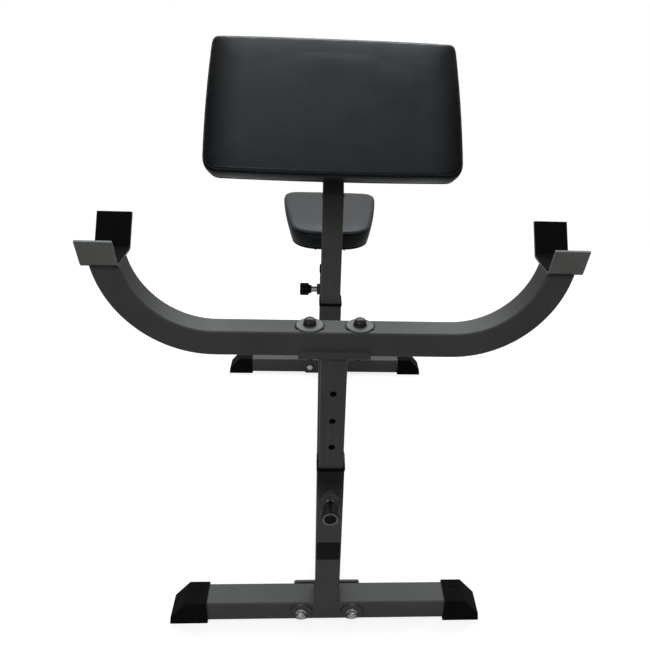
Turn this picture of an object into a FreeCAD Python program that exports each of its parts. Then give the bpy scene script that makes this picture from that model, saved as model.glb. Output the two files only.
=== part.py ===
import FreeCAD, Part
import math
import os
import re
import Sketcher

# Preacher curl bench, millimetres: +Z up, -Y towards the bar rest,
# origin on the floor below the box's centre

Vector = FreeCAD.Vector
Rotation = FreeCAD.Rotation

DIMENSIONS = [
    ("tube_outer", 50.0, "outside of the foot, beam and upright tubes"),
    ("tube_wall", 1.5, "wall of those tubes"),
    ("tube_corner", 4.0, "outer corner radius of those tubes"),
    ("post_outer", 45.0, "outside of the sliding posts and the bar arm"),
    ("post_wall", 1.5, "wall of the posts and the bar arm"),
    ("post_corner", 3.5, "outer corner radius of the posts and the bar arm"),
    ("fit_gap", 0.1, "gap between pieces that are pushed together"),
    ("slide_gap", 0.1, "running gap of a sliding fit, on each side"),
    ("foot_span", 652.0, "length of a foot over its end caps"),
    ("rear_foot_y", 927.0, "front foot axis to rear foot axis"),
    ("floor_gap", 4.5, "floor to the underside of the foot tubes"),
    ("cap_length", 78.0, "length of an end cap on the floor"),
    ("cap_top", 42.0, "length of an end cap on top"),
    ("cap_deep", 57.0, "width of an end cap across the foot"),
    ("cap_high", 57.5, "height of an end cap"),
    ("cap_toe", 18.0, "height of the upright part of a cap's end"),
    ("cap_lean", 2.5, "how far the cap's upright end leans in"),
    ("cap_socket", 36.0, "depth of the socket for the foot tube"),
    ("cap_round", 3.0, "rounding of the cap's outer edges"),
    ("cap_dimple", 24.0, "diameter of the dimple on top of a cap"),
    ("dimple_deep", 1.0, "depth of that dimple"),
    ("plate_wide", 140.0, "width of the beam's end plates"),
    ("plate_high", 52.0, "height of the beam's end plates"),
    ("plate_thick", 5.0, "thickness of the beam's end plates"),
    ("plate_corner", 6.0, "corner radius of the beam's end plates"),
    ("foot_bolt_spread", 106.0, "distance between the two bolts of a foot"),
    ("bolt_dia", 10.0, "foot and arm bolts"),
    ("bolt_hole", 11.0, "holes for those bolts"),
    ("bolt_across", 17.0, "across the flats of their heads and nuts"),
    ("bolt_head", 6.4, "height of their heads"),
    ("bolt_nut", 8.0, "height of their nuts"),
    ("bolt_end", 2.0, "bolt end standing past its nut"),
    ("washer_dia", 22.0, "loose washer of a foot bolt"),
    ("washer_thick", 2.0, "thickness of that washer"),
    ("disc_dia", 44.0, "reinforcing discs welded on the feet and the bar arm"),
    ("disc_thick", 3.0, "thickness of the reinforcing discs"),
    ("pad_post_y", 400.0, "front foot axis to the pad post"),
    ("seat_post_y", 690.0, "front foot axis to the seat post"),
    ("bar_upright_top", 412.0, "top of the bar rest's upright"),
    ("pad_upright_top", 541.0, "top of the pad's upright"),
    ("seat_upright_top", 490.0, "top of the seat's upright"),
    ("sleeve_rim", 5.5, "height of the sleeve's rim on top of an upright"),
    ("sleeve_lip", 0.8, "how far that rim stands out from the upright"),
    ("sleeve_skirt", 40.0, "length of the sleeve inside the upright"),
    ("plug_rim", 3.0, "rim of the glide plug below a post"),
    ("plug_deep", 16.0, "depth of the plug inside the post"),
    ("hole_pitch", 58.0, "pitch of the height holes"),
    ("hole_dia", 12.0, "diameter of the height holes"),
    ("bar_holes", 5, "height holes in the bar rest's post"),
    ("pad_holes", 5, "height holes in the pad post"),
    ("seat_holes", 4, "height holes in the seat post"),
    ("pad_holes_below", 1, "pad holes below the pin at rest"),
    ("seat_holes_below", 2, "seat holes below the pin at rest"),
    ("pin_drop", 62.0, "top of the bar's and the seat's upright to the pull pin"),
    ("pad_pin_drop", 75.0, "top of the pad's upright to its pull pin"),
    ("pin_dia", 11.4, "tip of a pull pin"),
    ("pin_tip", 18.0, "length of that tip"),
    ("pin_point", 1.7, "chamfer of that tip"),
    ("pin_clear", 0.8, "tip of a pulled pin to the post"),
    ("pin_travel", 14.0, "stroke of a pull pin"),
    ("rod_dia", 7.0, "rod of a pull pin"),
    ("pin_nut_across", 30.0, "across the flats of the nut welded on an upright"),
    ("pin_nut_thick", 8.0, "thickness of that nut"),
    ("barrel_dia", 16.0, "barrel of a pull pin"),
    ("barrel_length", 27.0, "length of that barrel"),
    ("barrel_end", 3.0, "end wall of that barrel"),
    ("spring_wire", 1.1, "wire of the pin's spring"),
    ("spring_turns", 4, "turns of the pin's spring"),
    ("knob_dia", 35.0, "grip of the pin's knob"),
    ("knob_grip", 24.0, "length of that grip"),
    ("knob_neck_dia", 24.0, "neck of the knob"),
    ("knob_neck", 8.0, "length of that neck"),
    ("knob_bore_gap", 0.4, "gap between the knob's bore and the barrel"),
    ("knob_bore_deep", 19.0, "depth of the knob's bore"),
    ("knob_face_dia", 23.0, "recess in the knob's face"),
    ("knob_face_deep", 1.5, "depth of that recess"),
    ("knob_edge", 2.0, "rounding of the knob's rim"),
    ("knob_overlap", 4.0, "barrel inside a pulled knob"),
    ("flute_dia", 4.0, "flutes round the knob's grip"),
    ("flute_count", 18, "number of flutes"),
    ("arm_z", 658.0, "floor to the underside of the bar arm"),
    ("arm_straight", 391.0, "straight middle of the bar arm"),
    ("bend_radius", 160.0, "bend of the bar arm, on its centre line"),
    ("bar_post_bottom", 290.0, "floor to the lower end of the bar post"),
    ("saddle_length", 120.0, "length of the saddle under the bar arm"),
    ("saddle_thick", 5.0, "plate of the saddle"),
    ("saddle_lip", 11.0, "lips of the saddle, above its floor"),
    ("saddle_round", 6.0, "rounded ends of the saddle's lips"),
    ("arm_bolt_spread", 83.0, "distance between the two arm bolts"),
    ("head_cap_across", 19.2, "across the flats of the cap over an arm bolt's head"),
    ("head_cap_high", 9.0, "height of that cap"),
    ("head_cap_round", 2.0, "rounding of that cap's top"),
    ("arm_rise", 155.0, "underside of the bar arm to the underside of the hooks"),
    ("hook_offset", 4.5, "how far a hook's middle lies outside the arm's end"),
    ("hook_wide", 55.0, "width of a hook's plate"),
    ("hook_thick", 4.0, "thickness of a hook's plate"),
    ("hook_floor", 71.0, "depth of a hook's floor"),
    ("hook_lip", 47.5, "slant length of a hook's front lip"),
    ("hook_lip_lean", 15.0, "lean of that lip, degrees forwards"),
    ("hook_back", 61.0, "slant length of a hook's back plate"),
    ("hook_back_lean", 35.0, "lean of that back plate, degrees backwards"),
    ("hook_bend", 4.0, "inner bend radius of a hook"),
    ("liner_thick", 3.0, "rubber liner inside a hook"),
    ("liner_start", 14.0, "arm axis forwards to the liner's front edge"),
    ("pad_post_bottom", 300.0, "floor to the lower end of the pad post"),
    ("pad_post_top", 806.0, "floor to the front corner of the pad post's mitre"),
    ("pad_angle", 45.0, "slope of the arm pad, degrees"),
    ("support_length", 220.0, "length of the tube under the arm pad"),
    ("crossbar_length", 220.0, "crossbars under the arm pad"),
    ("crossbar_wide", 40.0, "width of those crossbars"),
    ("crossbar_thick", 4.0, "thickness of those crossbars"),
    ("crossbar_low", 70.0, "mitre corner to the lower crossbar"),
    ("crossbar_step", 110.0, "lower crossbar to the upper one"),
    ("pad_setback", 22.0, "mitre corner to the pad's lower edge"),
    ("pad_wide", 555.0, "width of the arm pad"),
    ("pad_long", 347.0, "length of the arm pad along its slope"),
    ("pad_thick", 52.0, "thickness of the arm pad"),
    ("pad_low_round", 36.0, "radius of the arm pad's lower corners"),
    ("pad_top_round", 15.0, "radius of the arm pad's upper corners"),
    ("pad_screw_spread", 170.0, "distance between the two screws of a crossbar"),
    ("board_thick", 12.0, "plywood boards of the pad and seat"),
    ("board_inset", 14.0, "cushion's edge to its board"),
    ("board_gap", 0.3, "gap between a board and its cushion"),
    ("edge_roll", 9.0, "rounding of a cushion's upper edge"),
    ("edge_tuck", 5.0, "how far a cushion draws in at its underside"),
    ("side_bow", 3.0, "how far a cushion's sides bow out between the corners"),
    ("crown", 5.0, "height of a cushion's crown over its rolled edge"),
    ("crown_reach", 60.0, "edge of a cushion to its crown"),
    ("screw_dia", 8.0, "screws of the pad and seat"),
    ("screw_hole", 8.6, "holes for those screws"),
    ("screw_across", 13.0, "across the flats of their heads"),
    ("screw_head", 5.3, "height of their heads"),
    ("screw_bite", 10.0, "depth of the screws in the boards"),
    ("seat_post_bottom", 200.0, "floor to the lower end of the seat post"),
    ("seat_z", 593.0, "floor to the underside of the seat"),
    ("seat_front", 110.0, "seat post to the seat's front edge"),
    ("seat_deep", 348.0, "depth of the seat"),
    ("seat_front_wide", 200.0, "width of the seat at its front"),
    ("seat_rear_wide", 288.0, "width of the seat at its rear"),
    ("seat_thick", 54.0, "thickness of the seat"),
    ("seat_front_round", 74.0, "corner radius of the seat's front"),
    ("seat_rear_round", 38.0, "corner radius of the seat's rear"),
    ("bracket_length", 120.0, "length of the seat's bracket"),
    ("bracket_wide", 80.0, "width of the seat's bracket"),
    ("bracket_thick", 4.0, "plate of the seat's bracket"),
    ("bracket_flange", 24.0, "height of the seat's bracket"),
    ("seat_screw_x", 40.0, "distance between the seat's screws across"),
    ("seat_screw_y", 88.0, "distance between the seat's screws lengthwise"),
]

doc = FreeCAD.newDocument("PreacherCurlBench")
sheet = doc.addObject("Spreadsheet::Sheet", "Dims")
for row, (alias, size, note) in enumerate(DIMENSIONS, start=1):
    sheet.set(f"A{row}", note)
    sheet.set(f"B{row}", str(size))
    sheet.setAlias(f"B{row}", alias)
doc.recompute()
ALIASES = {alias for alias, size, note in DIMENSIONS}
nodes = []

# Places that several pieces share, written in the sheet's names
PIN_REACH = "(tube_outer / 2 + barrel_length - knob_overlap + knob_neck + knob_grip)"
FOOT_TOP = "(floor_gap + tube_outer)"
FOOT_MIDDLE = "(floor_gap + tube_outer / 2)"
TUBE_HALF = "(tube_outer / 2)"
POST_HALF = "(post_outer / 2)"
ARM_TOP = "(arm_z + post_outer)"
HOOK_Z = "(arm_z + arm_rise)"
HOOK_X = "(arm_straight / 2 + bend_radius + hook_offset)"
FEET_MIDDLE = "(rear_foot_y / 2)"
CAP_START = "(foot_span / 2 - cap_length)"
BOLT_SIDE = "(tube_outer / 2 + plate_thick)"
NUT_SIDE = "(tube_outer / 2 + disc_thick + washer_thick)"
TIP_START = "(post_outer / 2 + pin_clear)"
KNOB_START = "(tube_outer / 2 + barrel_length - knob_overlap)"
MIDDLE_Y = f"((rear_foot_y + {NUT_SIDE} + bolt_nut + bolt_end - {PIN_REACH}) / 2)"


def linked(text):
    """Expression with the sheet's name put before each of its aliases."""
    return re.sub(r"[a-z_]+", lambda m: f"Dims.{m[0]}" if m[0] in ALIASES else m[0], text)


def value(text):
    result = sheet.evalExpression(linked(str(text)))
    return float(getattr(result, "Value", result))


def bind(obj, prop, text):
    obj.setExpression(prop, linked(str(text)))


def bind_base(obj, place):
    """Position as three expressions, bound one by one."""
    for axis, text in zip("xyz", place):
        bind(obj, f"Placement.Base.{axis}", text)


def along_y(text):
    """World Y of a distance measured from the front foot's axis."""
    return f"{text} - {MIDDLE_Y}"


def new_body(label, place=("0", "0", "0"), turn=Rotation()):
    body = doc.addObject("PartDesign::Body", label)
    body.Label = label
    body.AllowCompound = True
    body.Placement = FreeCAD.Placement(Vector(), turn)
    bind_base(body, place)
    nodes.append(body)
    return body


def new_sketch(body, role, lift="0"):
    sketch = body.newObject("Sketcher::SketchObject", "Sketch")
    plane = next(f for f in body.Origin.OriginFeatures if f.Role == role)
    sketch.AttachmentSupport = [(plane, "")]
    sketch.MapMode = "FlatFace"
    bind(sketch, "AttachmentOffset.Base.z", lift)
    return sketch


def fix_point(sketch, geometry, end, x, y):
    """Hold one point at two expressions, measured from the sketch's origin."""
    for kind, text, zero_axis in (("DistanceX", x, -2), ("DistanceY", y, -1)):
        size = value(text)
        if abs(size) < 1e-9:
            sketch.addConstraint(Sketcher.Constraint("PointOnObject", geometry, end, zero_axis))
            continue
        ends = (-1, 1, geometry, end) if size > 0 else (geometry, end, -1, 1)
        index = sketch.addConstraint(Sketcher.Constraint(kind, *ends, abs(size)))
        bind(sketch, f"Constraints[{index}]", text if size > 0 else f"-({text})")


def polygon(sketch, points):
    """Closed outline through points given as pairs of expressions."""
    spots = [Vector(value(x), value(y), 0) for x, y in points]
    first = sketch.GeometryCount
    count = len(spots)
    for i in range(count):
        sketch.addGeometry(Part.LineSegment(spots[i], spots[(i + 1) % count]), False)
    for i in range(count):
        after = first + (i + 1) % count
        sketch.addConstraint(Sketcher.Constraint("Coincident", first + i, 2, after, 1))
    for i, (x, y) in enumerate(points):
        fix_point(sketch, first + i, 1, x, y)


def rounded_rect(sketch, wide, tall, radius, centre_y="0"):
    """Closed rectangle with rounded corners, centred across the sketch."""
    w, t, r, c = value(wide) / 2, value(tall) / 2, value(radius), value(centre_y)
    g = sketch.GeometryCount
    ring = [(-w + r, -t), (w - r, -t), (w, -t + r), (w, t - r),
            (w - r, t), (-w + r, t), (-w, t - r), (-w, -t + r)]
    spots = [Vector(x, y + c, 0) for x, y in ring]
    for i in range(0, 8, 2):
        sketch.addGeometry(Part.LineSegment(spots[i], spots[i + 1]), False)
    for i, (sx, sy) in enumerate(((1, -1), (1, 1), (-1, 1), (-1, -1))):
        circle = Part.Circle(Vector(sx * (w - r), sy * (t - r) + c, 0), Vector(0, 0, 1), r)
        start = math.radians(90 * (i - 1))
        sketch.addGeometry(Part.ArcOfCircle(circle, start, start + math.pi / 2), False)
    for i in range(4):
        sketch.addConstraint(Sketcher.Constraint("Tangent", g + i, 2, g + 4 + i, 1))
        sketch.addConstraint(Sketcher.Constraint("Tangent", g + 4 + i, 2, g + (i + 1) % 4, 1))
        sketch.addConstraint(Sketcher.Constraint("Horizontal" if i % 2 == 0 else "Vertical", g + i))
    for i in (5, 6, 7):
        sketch.addConstraint(Sketcher.Constraint("Equal", g + 4, g + i))
    index = sketch.addConstraint(Sketcher.Constraint("Radius", g + 4, r))
    bind(sketch, f"Constraints[{index}]", radius)
    sides = (("DistanceX", g + 1, f"({wide}) / 2"), ("DistanceX", g + 3, f"-({wide}) / 2"),
             ("DistanceY", g + 2, f"{centre_y} + ({tall}) / 2"),
             ("DistanceY", g, f"{centre_y} - ({tall}) / 2"))
    for kind, line, text in sides:
        size = value(text)
        ends = (-1, 1, line, 1) if size > 0 else (line, 1, -1, 1)
        index = sketch.addConstraint(Sketcher.Constraint(kind, *ends, abs(size)))
        bind(sketch, f"Constraints[{index}]", text if size > 0 else f"-({text})")


def pad(body, sketch, length, symmetric=False):
    feature = body.newObject("PartDesign::Pad", "Pad")
    feature.Profile = sketch
    feature.SideType = "Symmetric" if symmetric else "One side"
    bind(feature, "Length", length)
    return feature


def pocket(body, sketch, length, symmetric=False, towards_normal=False):
    """Cut that has to take material away."""
    doc.recompute()
    before = body.Shape.Volume
    feature = body.newObject("PartDesign::Pocket", "Pocket")
    feature.Profile = sketch
    feature.SideType = "Symmetric" if symmetric else "One side"
    feature.Reversed = towards_normal
    bind(feature, "Length", length)
    doc.recompute()
    if body.Shape.Volume > before - 1e-3:
        raise RuntimeError(f"{body.Label}: a pocket cuts nothing")
    return feature


def revolve(body, points):
    """Solid of revolution about the body's Z axis; points are (radius, height) expressions."""
    sketch = new_sketch(body, "XZ_Plane")
    polygon(sketch, points)
    feature = body.newObject("PartDesign::Revolution", "Revolution")
    feature.Profile = sketch
    feature.ReferenceAxis = (sketch, ["V_Axis"])
    feature.Angle = 360
    return feature


TURN_TO = {"z": Rotation(), "y": Rotation(Vector(1, 0, 0), -90), "x": Rotation(Vector(0, 1, 0), 90)}


def cylinder(body, kind, diameter, height, place, direction="z"):
    feature = body.newObject(f"PartDesign::{kind}Cylinder", "Cylinder")
    feature.Placement = FreeCAD.Placement(Vector(), TURN_TO[direction])
    bind(feature, "Radius", f"({diameter}) / 2")
    bind(feature, "Height", height)
    bind_base(feature, place)
    return feature


def hexagon(body, across, height, place, direction="z", kind="Additive"):
    feature = body.newObject(f"PartDesign::{kind}Prism", "Hexagon")
    feature.Placement = FreeCAD.Placement(Vector(), TURN_TO[direction])
    feature.Polygon = 6
    bind(feature, "Circumradius", f"({across}) / 2 / cos(30)")
    bind(feature, "Height", height)
    bind_base(feature, place)
    return feature


def round_edges(body, radius, wanted, kind="Fillet"):
    """Fillet or chamfer on the edges whose middle point, direction and length the test accepts."""
    doc.recompute()
    tip = body.Tip
    names = []
    for i, edge in enumerate(tip.Shape.Edges, start=1):
        middle = edge.valueAt((edge.FirstParameter + edge.LastParameter) / 2)
        way = edge.tangentAt(edge.FirstParameter)
        if wanted(middle, way):
            names.append(f"Edge{i}")
    if not names:
        raise RuntimeError(f"{body.Label}: no edge to round")
    feature = body.newObject(f"PartDesign::{kind}", kind)
    feature.Base = (tip, names)
    bind(feature, "Radius" if kind == "Fillet" else "Size", radius)
    doc.recompute()
    return feature


def square_tube(body, size, wall, corner, length, start="0"):
    sketch = new_sketch(body, "XY_Plane", start)
    rounded_rect(sketch, size, size, corner)
    rounded_rect(sketch, f"{size} - 2 * {wall}", f"{size} - 2 * {wall}", f"{corner} - {wall}")
    return pad(body, sketch, length)


def near(a, b, slack=0.01):
    return abs(a - b) < slack


def foot_tubes():
    """Two cross tubes that lie along X, each with two bolt holes."""
    length = f"(2 * ({CAP_START} + cap_socket))"
    for label, y in (("front_foot_tube", "0"), ("rear_foot_tube", "rear_foot_y")):
        place = (f"-{length} / 2", along_y(y), FOOT_MIDDLE)
        body = new_body(label, place, Rotation(Vector(0, 1, 0), 90))
        square_tube(body, "tube_outer", "tube_wall", "tube_corner", length)
        for side in ("-", "+"):
            spot = ("0", "-tube_outer", f"{length} / 2 {side} foot_bolt_spread / 2")
            cylinder(body, "Subtractive", "bolt_hole", "2 * tube_outer", spot, "y")


def foot_caps():
    """Wedge-ended shoes pushed over the foot tubes."""
    for front, y in (("front", "0"), ("rear", "rear_foot_y")):
        for side, turn in (("right", 0), ("left", 180)):
            facing = Rotation(Vector(0, 0, 1), turn)
            body = new_body(f"foot_cap_{front}_{side}", ("0", along_y(y), "0"), facing)
            outline = new_sketch(body, "XZ_Plane")
            outer = "foot_span / 2"
            polygon(outline, [(CAP_START, "0"), (outer, "0"), (f"{outer} - cap_lean", "cap_toe"),
                              (f"{CAP_START} + cap_top", "cap_high"), (CAP_START, "cap_high")])
            pad(body, outline, "cap_deep", symmetric=True)
            start, half, high = value(CAP_START), value("cap_deep / 2"), value("cap_high")
            round_edges(body, "cap_round", lambda p, d: p.x > start + 1 and p.z > 0.01 and (
                near(abs(p.y), half) or (near(abs(d.y), 1) and p.z < high + 1)))
            socket = new_sketch(body, "YZ_Plane", CAP_START)
            size = "tube_outer + 2 * fit_gap"
            rounded_rect(socket, size, size, "tube_corner", FOOT_MIDDLE)
            pocket(body, socket, "cap_socket + fit_gap", towards_normal=True)
            spot = (f"{CAP_START} + cap_top / 2", "0", "cap_high - dimple_deep")
            cylinder(body, "Subtractive", "cap_dimple", "2 * dimple_deep", spot)


def base_beam():
    """Tube between the feet, with a bolted plate welded on each end."""
    place = ("0", along_y(BOLT_SIDE), FOOT_MIDDLE)
    body = new_body("base_beam", place, Rotation(Vector(1, 0, 0), -90))
    square_tube(body, "tube_outer", "tube_wall", "tube_corner", f"rear_foot_y - 2 * {BOLT_SIDE}")
    for label, y in (("beam_plate_front", TUBE_HALF), ("beam_plate_rear", f"rear_foot_y - {BOLT_SIDE}")):
        plate = new_body(label, ("0", along_y(y), "floor_gap"))
        face = new_sketch(plate, "XZ_Plane", "-plate_thick")
        rounded_rect(face, "plate_wide", "plate_high", "plate_corner", "plate_high / 2")
        pad(plate, face, "plate_thick")
        for side in ("-", ""):
            spot = (f"{side}foot_bolt_spread / 2", "-plate_thick", "tube_outer / 2")
            cylinder(plate, "Subtractive", "bolt_hole", "3 * plate_thick", spot, "y")


def foot_fasteners():
    """Welded discs, washers, bolts and nuts, two of each on either foot."""
    place = ("0", along_y(FEET_MIDDLE), FOOT_MIDDLE)
    discs = new_body("foot_reinforcing_discs", place)
    washers = new_body("foot_washers", place)
    bolts = new_body("foot_bolts", place)
    nuts = new_body("foot_nuts", place)
    shank = f"({BOLT_SIDE} + {NUT_SIDE} + bolt_nut + bolt_end)"
    for side in ("-", ""):
        x = f"{side}foot_bolt_spread / 2"
        for foot, sign in ((f"-{FEET_MIDDLE}", -1), (FEET_MIDDLE, 1)):

            def spot(near_end, length):
                """Place of a length that runs outwards from near_end, seen from the foot's axis."""
                away = near_end if sign > 0 else f"-({near_end}) - ({length})"
                return (x, f"{foot} + {away}", "0")

            cylinder(discs, "Additive", "disc_dia", "disc_thick", spot(TUBE_HALF, "disc_thick"), "y")
            cylinder(washers, "Additive", "washer_dia", "washer_thick",
                     spot(f"{TUBE_HALF} + disc_thick", "washer_thick"), "y")
            head = spot(f"-{BOLT_SIDE} - bolt_head", "bolt_head")
            hexagon(bolts, "bolt_across", "bolt_head", head, "y")
            cylinder(bolts, "Additive", "bolt_dia", shank, spot(f"-{BOLT_SIDE}", shank), "y")
            hexagon(nuts, "bolt_across", "bolt_nut", spot(NUT_SIDE, "bolt_nut"), "y")
            for body in (discs, washers, nuts):
                bore = "bolt_hole" if body is not nuts else "bolt_dia + 2 * fit_gap"
                whole = f"2 * ({NUT_SIDE} + bolt_nut)"
                cylinder(body, "Subtractive", bore, whole, (x, f"{foot} - {whole} / 2", "0"), "y")


def upright(label, y, top, drop, faces_front):
    """Outer tube that stands on the base, with one hole for its pull pin."""
    body = new_body(label, ("0", along_y(y), FOOT_TOP))
    square_tube(body, "tube_outer", "tube_wall", "tube_corner", f"{top} - {FOOT_TOP}")
    height = f"{top} - {drop} - {FOOT_TOP}"
    spot = ("0", "-tube_outer", height) if faces_front else ("-tube_outer", "0", height)
    cylinder(body, "Subtractive", "hole_dia", "tube_outer", spot, "y" if faces_front else "x")


def sleeve(label, y, top):
    """Plastic bush with a rim on the upright and a skirt between upright and post."""
    body = new_body(label, ("0", along_y(y), top))
    inner = "post_outer + 2 * slide_gap"
    corner = "post_corner + slide_gap"
    rim = new_sketch(body, "XY_Plane")
    rim_size = "tube_outer + 2 * sleeve_lip"
    rounded_rect(rim, rim_size, rim_size, "tube_corner + sleeve_lip")
    rounded_rect(rim, inner, inner, corner)
    pad(body, rim, "sleeve_rim")
    skirt = new_sketch(body, "XY_Plane", "-sleeve_skirt")
    outer = "tube_outer - 2 * tube_wall - 2 * fit_gap"
    rounded_rect(skirt, outer, outer, "tube_corner - tube_wall")
    rounded_rect(skirt, inner, inner, corner)
    pad(body, skirt, "sleeve_skirt")
    top_face = value("sleeve_rim")
    half = value(TUBE_HALF)
    round_edges(body, "sleeve_lip",
                lambda p, d: near(p.z, top_face) and max(abs(p.x), abs(p.y)) > half - 1)


def post(label, y, bottom, top, holes, lowest_hole, faces_front):
    """Sliding tube with a row of height holes in one wall."""
    body = new_body(label, ("0", along_y(y), bottom))
    square_tube(body, "post_outer", "post_wall", "post_corner", f"{top} - {bottom}")
    height = f"{lowest_hole} - {bottom}"
    spot = ("0", "-post_outer", height) if faces_front else ("-post_outer", "0", height)
    hole = cylinder(body, "Subtractive", "hole_dia", "post_outer", spot, "y" if faces_front else "x")
    row = body.newObject("PartDesign::LinearPattern", "HoleRow")
    row.Originals = [hole]
    row.Direction = (next(f for f in body.Origin.OriginFeatures if f.Role == "Z_Axis"), [""])
    bind(row, "Length", f"hole_pitch * ({holes} - 1)")
    bind(row, "Occurrences", holes)
    body.Tip = row
    return body


def glide_plug(label, y, bottom):
    """Plastic plug that closes the lower end of a post."""
    body = new_body(label, ("0", along_y(y), bottom))
    rim = new_sketch(body, "XY_Plane", "-plug_rim")
    rounded_rect(rim, "post_outer", "post_outer", "post_corner")
    pad(body, rim, "plug_rim")
    core = new_sketch(body, "XY_Plane")
    inner = "post_outer - 2 * post_wall - 2 * fit_gap"
    rounded_rect(core, inner, inner, "post_corner - post_wall")
    pad(body, core, "plug_deep")


def pull_pin(name, y, height, turn):
    """Welded nut, barrel, spring, pin and knob; local Z points out from the post's axis."""
    place = ("0", along_y(y), height)
    nut = new_body(f"{name}_pin_nut", place, turn)
    hexagon(nut, "pin_nut_across", "pin_nut_thick", ("0", "0", TUBE_HALF))
    cylinder(nut, "Subtractive", "barrel_dia + 2 * fit_gap", "2 * pin_nut_thick",
             ("0", "0", f"{TUBE_HALF} - fit_gap"))

    barrel = new_body(f"{name}_pin_barrel", place, turn)
    end = f"{TUBE_HALF} + barrel_length"
    bore = "pin_dia / 2 + slide_gap"
    revolve(barrel, [(bore, TUBE_HALF), ("barrel_dia / 2", TUBE_HALF), ("barrel_dia / 2", f"{end} - 1"),
                     ("barrel_dia / 2 - 1", end), ("rod_dia / 2 + slide_gap", end),
                     ("rod_dia / 2 + slide_gap", f"{end} - barrel_end"), (bore, f"{end} - barrel_end")])

    pin = new_body(f"{name}_pin_rod", place, turn)
    shoulder = f"{TIP_START} + pin_tip"
    rod_end = f"{KNOB_START} + knob_neck + knob_grip - 2 * knob_face_deep"
    revolve(pin, [("0", TIP_START), ("pin_dia / 2 - pin_point", TIP_START),
                  ("pin_dia / 2", f"{TIP_START} + pin_point"), ("pin_dia / 2", shoulder),
                  ("rod_dia / 2", shoulder), ("rod_dia / 2", rod_end), ("0", rod_end)])

    knob = new_body(f"{name}_pin_knob", place, turn)
    face = f"{KNOB_START} + knob_neck + knob_grip"
    bore = "barrel_dia / 2 + knob_bore_gap"
    rod_bore = "rod_dia / 2 + fit_gap / 2"
    bore_end = f"{KNOB_START} + knob_bore_deep"
    revolve(knob, [(bore, KNOB_START), ("knob_neck_dia / 2", KNOB_START),
                   ("knob_neck_dia / 2", f"{KNOB_START} + knob_neck - knob_edge"),
                   ("knob_dia / 2 - knob_edge", f"{KNOB_START} + knob_neck"),
                   ("knob_dia / 2", f"{KNOB_START} + knob_neck + knob_edge"),
                   ("knob_dia / 2", f"{face} - knob_edge"), ("knob_dia / 2 - knob_edge", face),
                   ("knob_face_dia / 2", face),
                   ("knob_face_dia / 2 - knob_face_deep", f"{face} - knob_face_deep"),
                   ("0", f"{face} - knob_face_deep"), ("0", rod_end), (rod_bore, rod_end),
                   (rod_bore, bore_end), (bore, bore_end)])
    flute = cylinder(knob, "Subtractive", "flute_dia", "knob_grip + knob_edge",
                     ("knob_dia / 2 + flute_dia / 4", "0", f"{KNOB_START} + knob_neck"))
    ring = knob.newObject("PartDesign::PolarPattern", "Flutes")
    ring.Originals = [flute]
    ring.Axis = (next(f for f in knob.Origin.OriginFeatures if f.Role == "Z_Axis"), [""])
    ring.Angle = 360
    bind(ring, "Occurrences", "flute_count")
    knob.Tip = ring

    coil_spring(f"{name}_pin_spring", place, turn, shoulder, f"{end} - barrel_end")


def coil_spring(label, place, turn, start, end):
    """Compression spring on the pin's rod, in quarter-turn arcs."""
    wire = value("spring_wire")
    radius = (value("pin_dia / 2 + slide_gap") + value("rod_dia / 2")) / 2
    low = value(start) + wire / 2 + value("slide_gap")
    high = value(end) - wire / 2 - value("slide_gap")
    turns = int(value("spring_turns"))
    rise = (high - low) / turns

    def point(share):
        angle = 2 * math.pi * share
        return Vector(radius * math.cos(angle), radius * math.sin(angle), low + rise * share)

    quarters = [Part.Arc(point(q / 4), point((q + 0.5) / 4), point((q + 1) / 4)).toShape()
                for q in range(4 * turns)]
    path = Part.Wire(quarters)
    start_way = path.Edges[0].tangentAt(path.Edges[0].FirstParameter)
    section = Part.Wire(Part.makeCircle(wire / 2, point(0), start_way))
    print(f"{label}: gap between turns {rise - wire:.2f} mm")
    spring = doc.addObject("Part::Feature", label)
    spring.Label = label
    spring.Shape = path.makePipeShell([section], True, False)
    spring.Placement = FreeCAD.Placement(Vector(*(value(p) for p in place)), turn)
    nodes.append(spring)


def bar_saddle():
    """Bent channel on the bar post that carries the arm."""
    body = new_body("bar_saddle", ("0", along_y("0"), "arm_z"))
    inner = f"({POST_HALF} + fit_gap)"
    outer = f"({inner} + saddle_thick)"
    profile = new_sketch(body, "YZ_Plane")
    polygon(profile, [(f"-{outer}", "-saddle_thick"), (outer, "-saddle_thick"), (outer, "saddle_lip"),
                      (inner, "saddle_lip"), (inner, "0"), (f"-{inner}", "0"),
                      (f"-{inner}", "saddle_lip"), (f"-{outer}", "saddle_lip")])
    pad(body, profile, "saddle_length", symmetric=True)
    low, wide = -value("saddle_thick"), value(outer)
    round_edges(body, "saddle_thick",
                lambda p, d: near(abs(d.x), 1) and near(p.z, low) and near(abs(p.y), wide))
    lip, end = value("saddle_lip"), value("saddle_length / 2")
    round_edges(body, "saddle_round",
                lambda p, d: near(p.z, lip) and near(abs(p.x), end) and near(abs(d.y), 1))
    for side in ("-", ""):
        spot = (f"{side}arm_bolt_spread / 2", "0", "-2 * saddle_thick")
        cylinder(body, "Subtractive", "bolt_hole", "3 * saddle_thick", spot)


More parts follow.
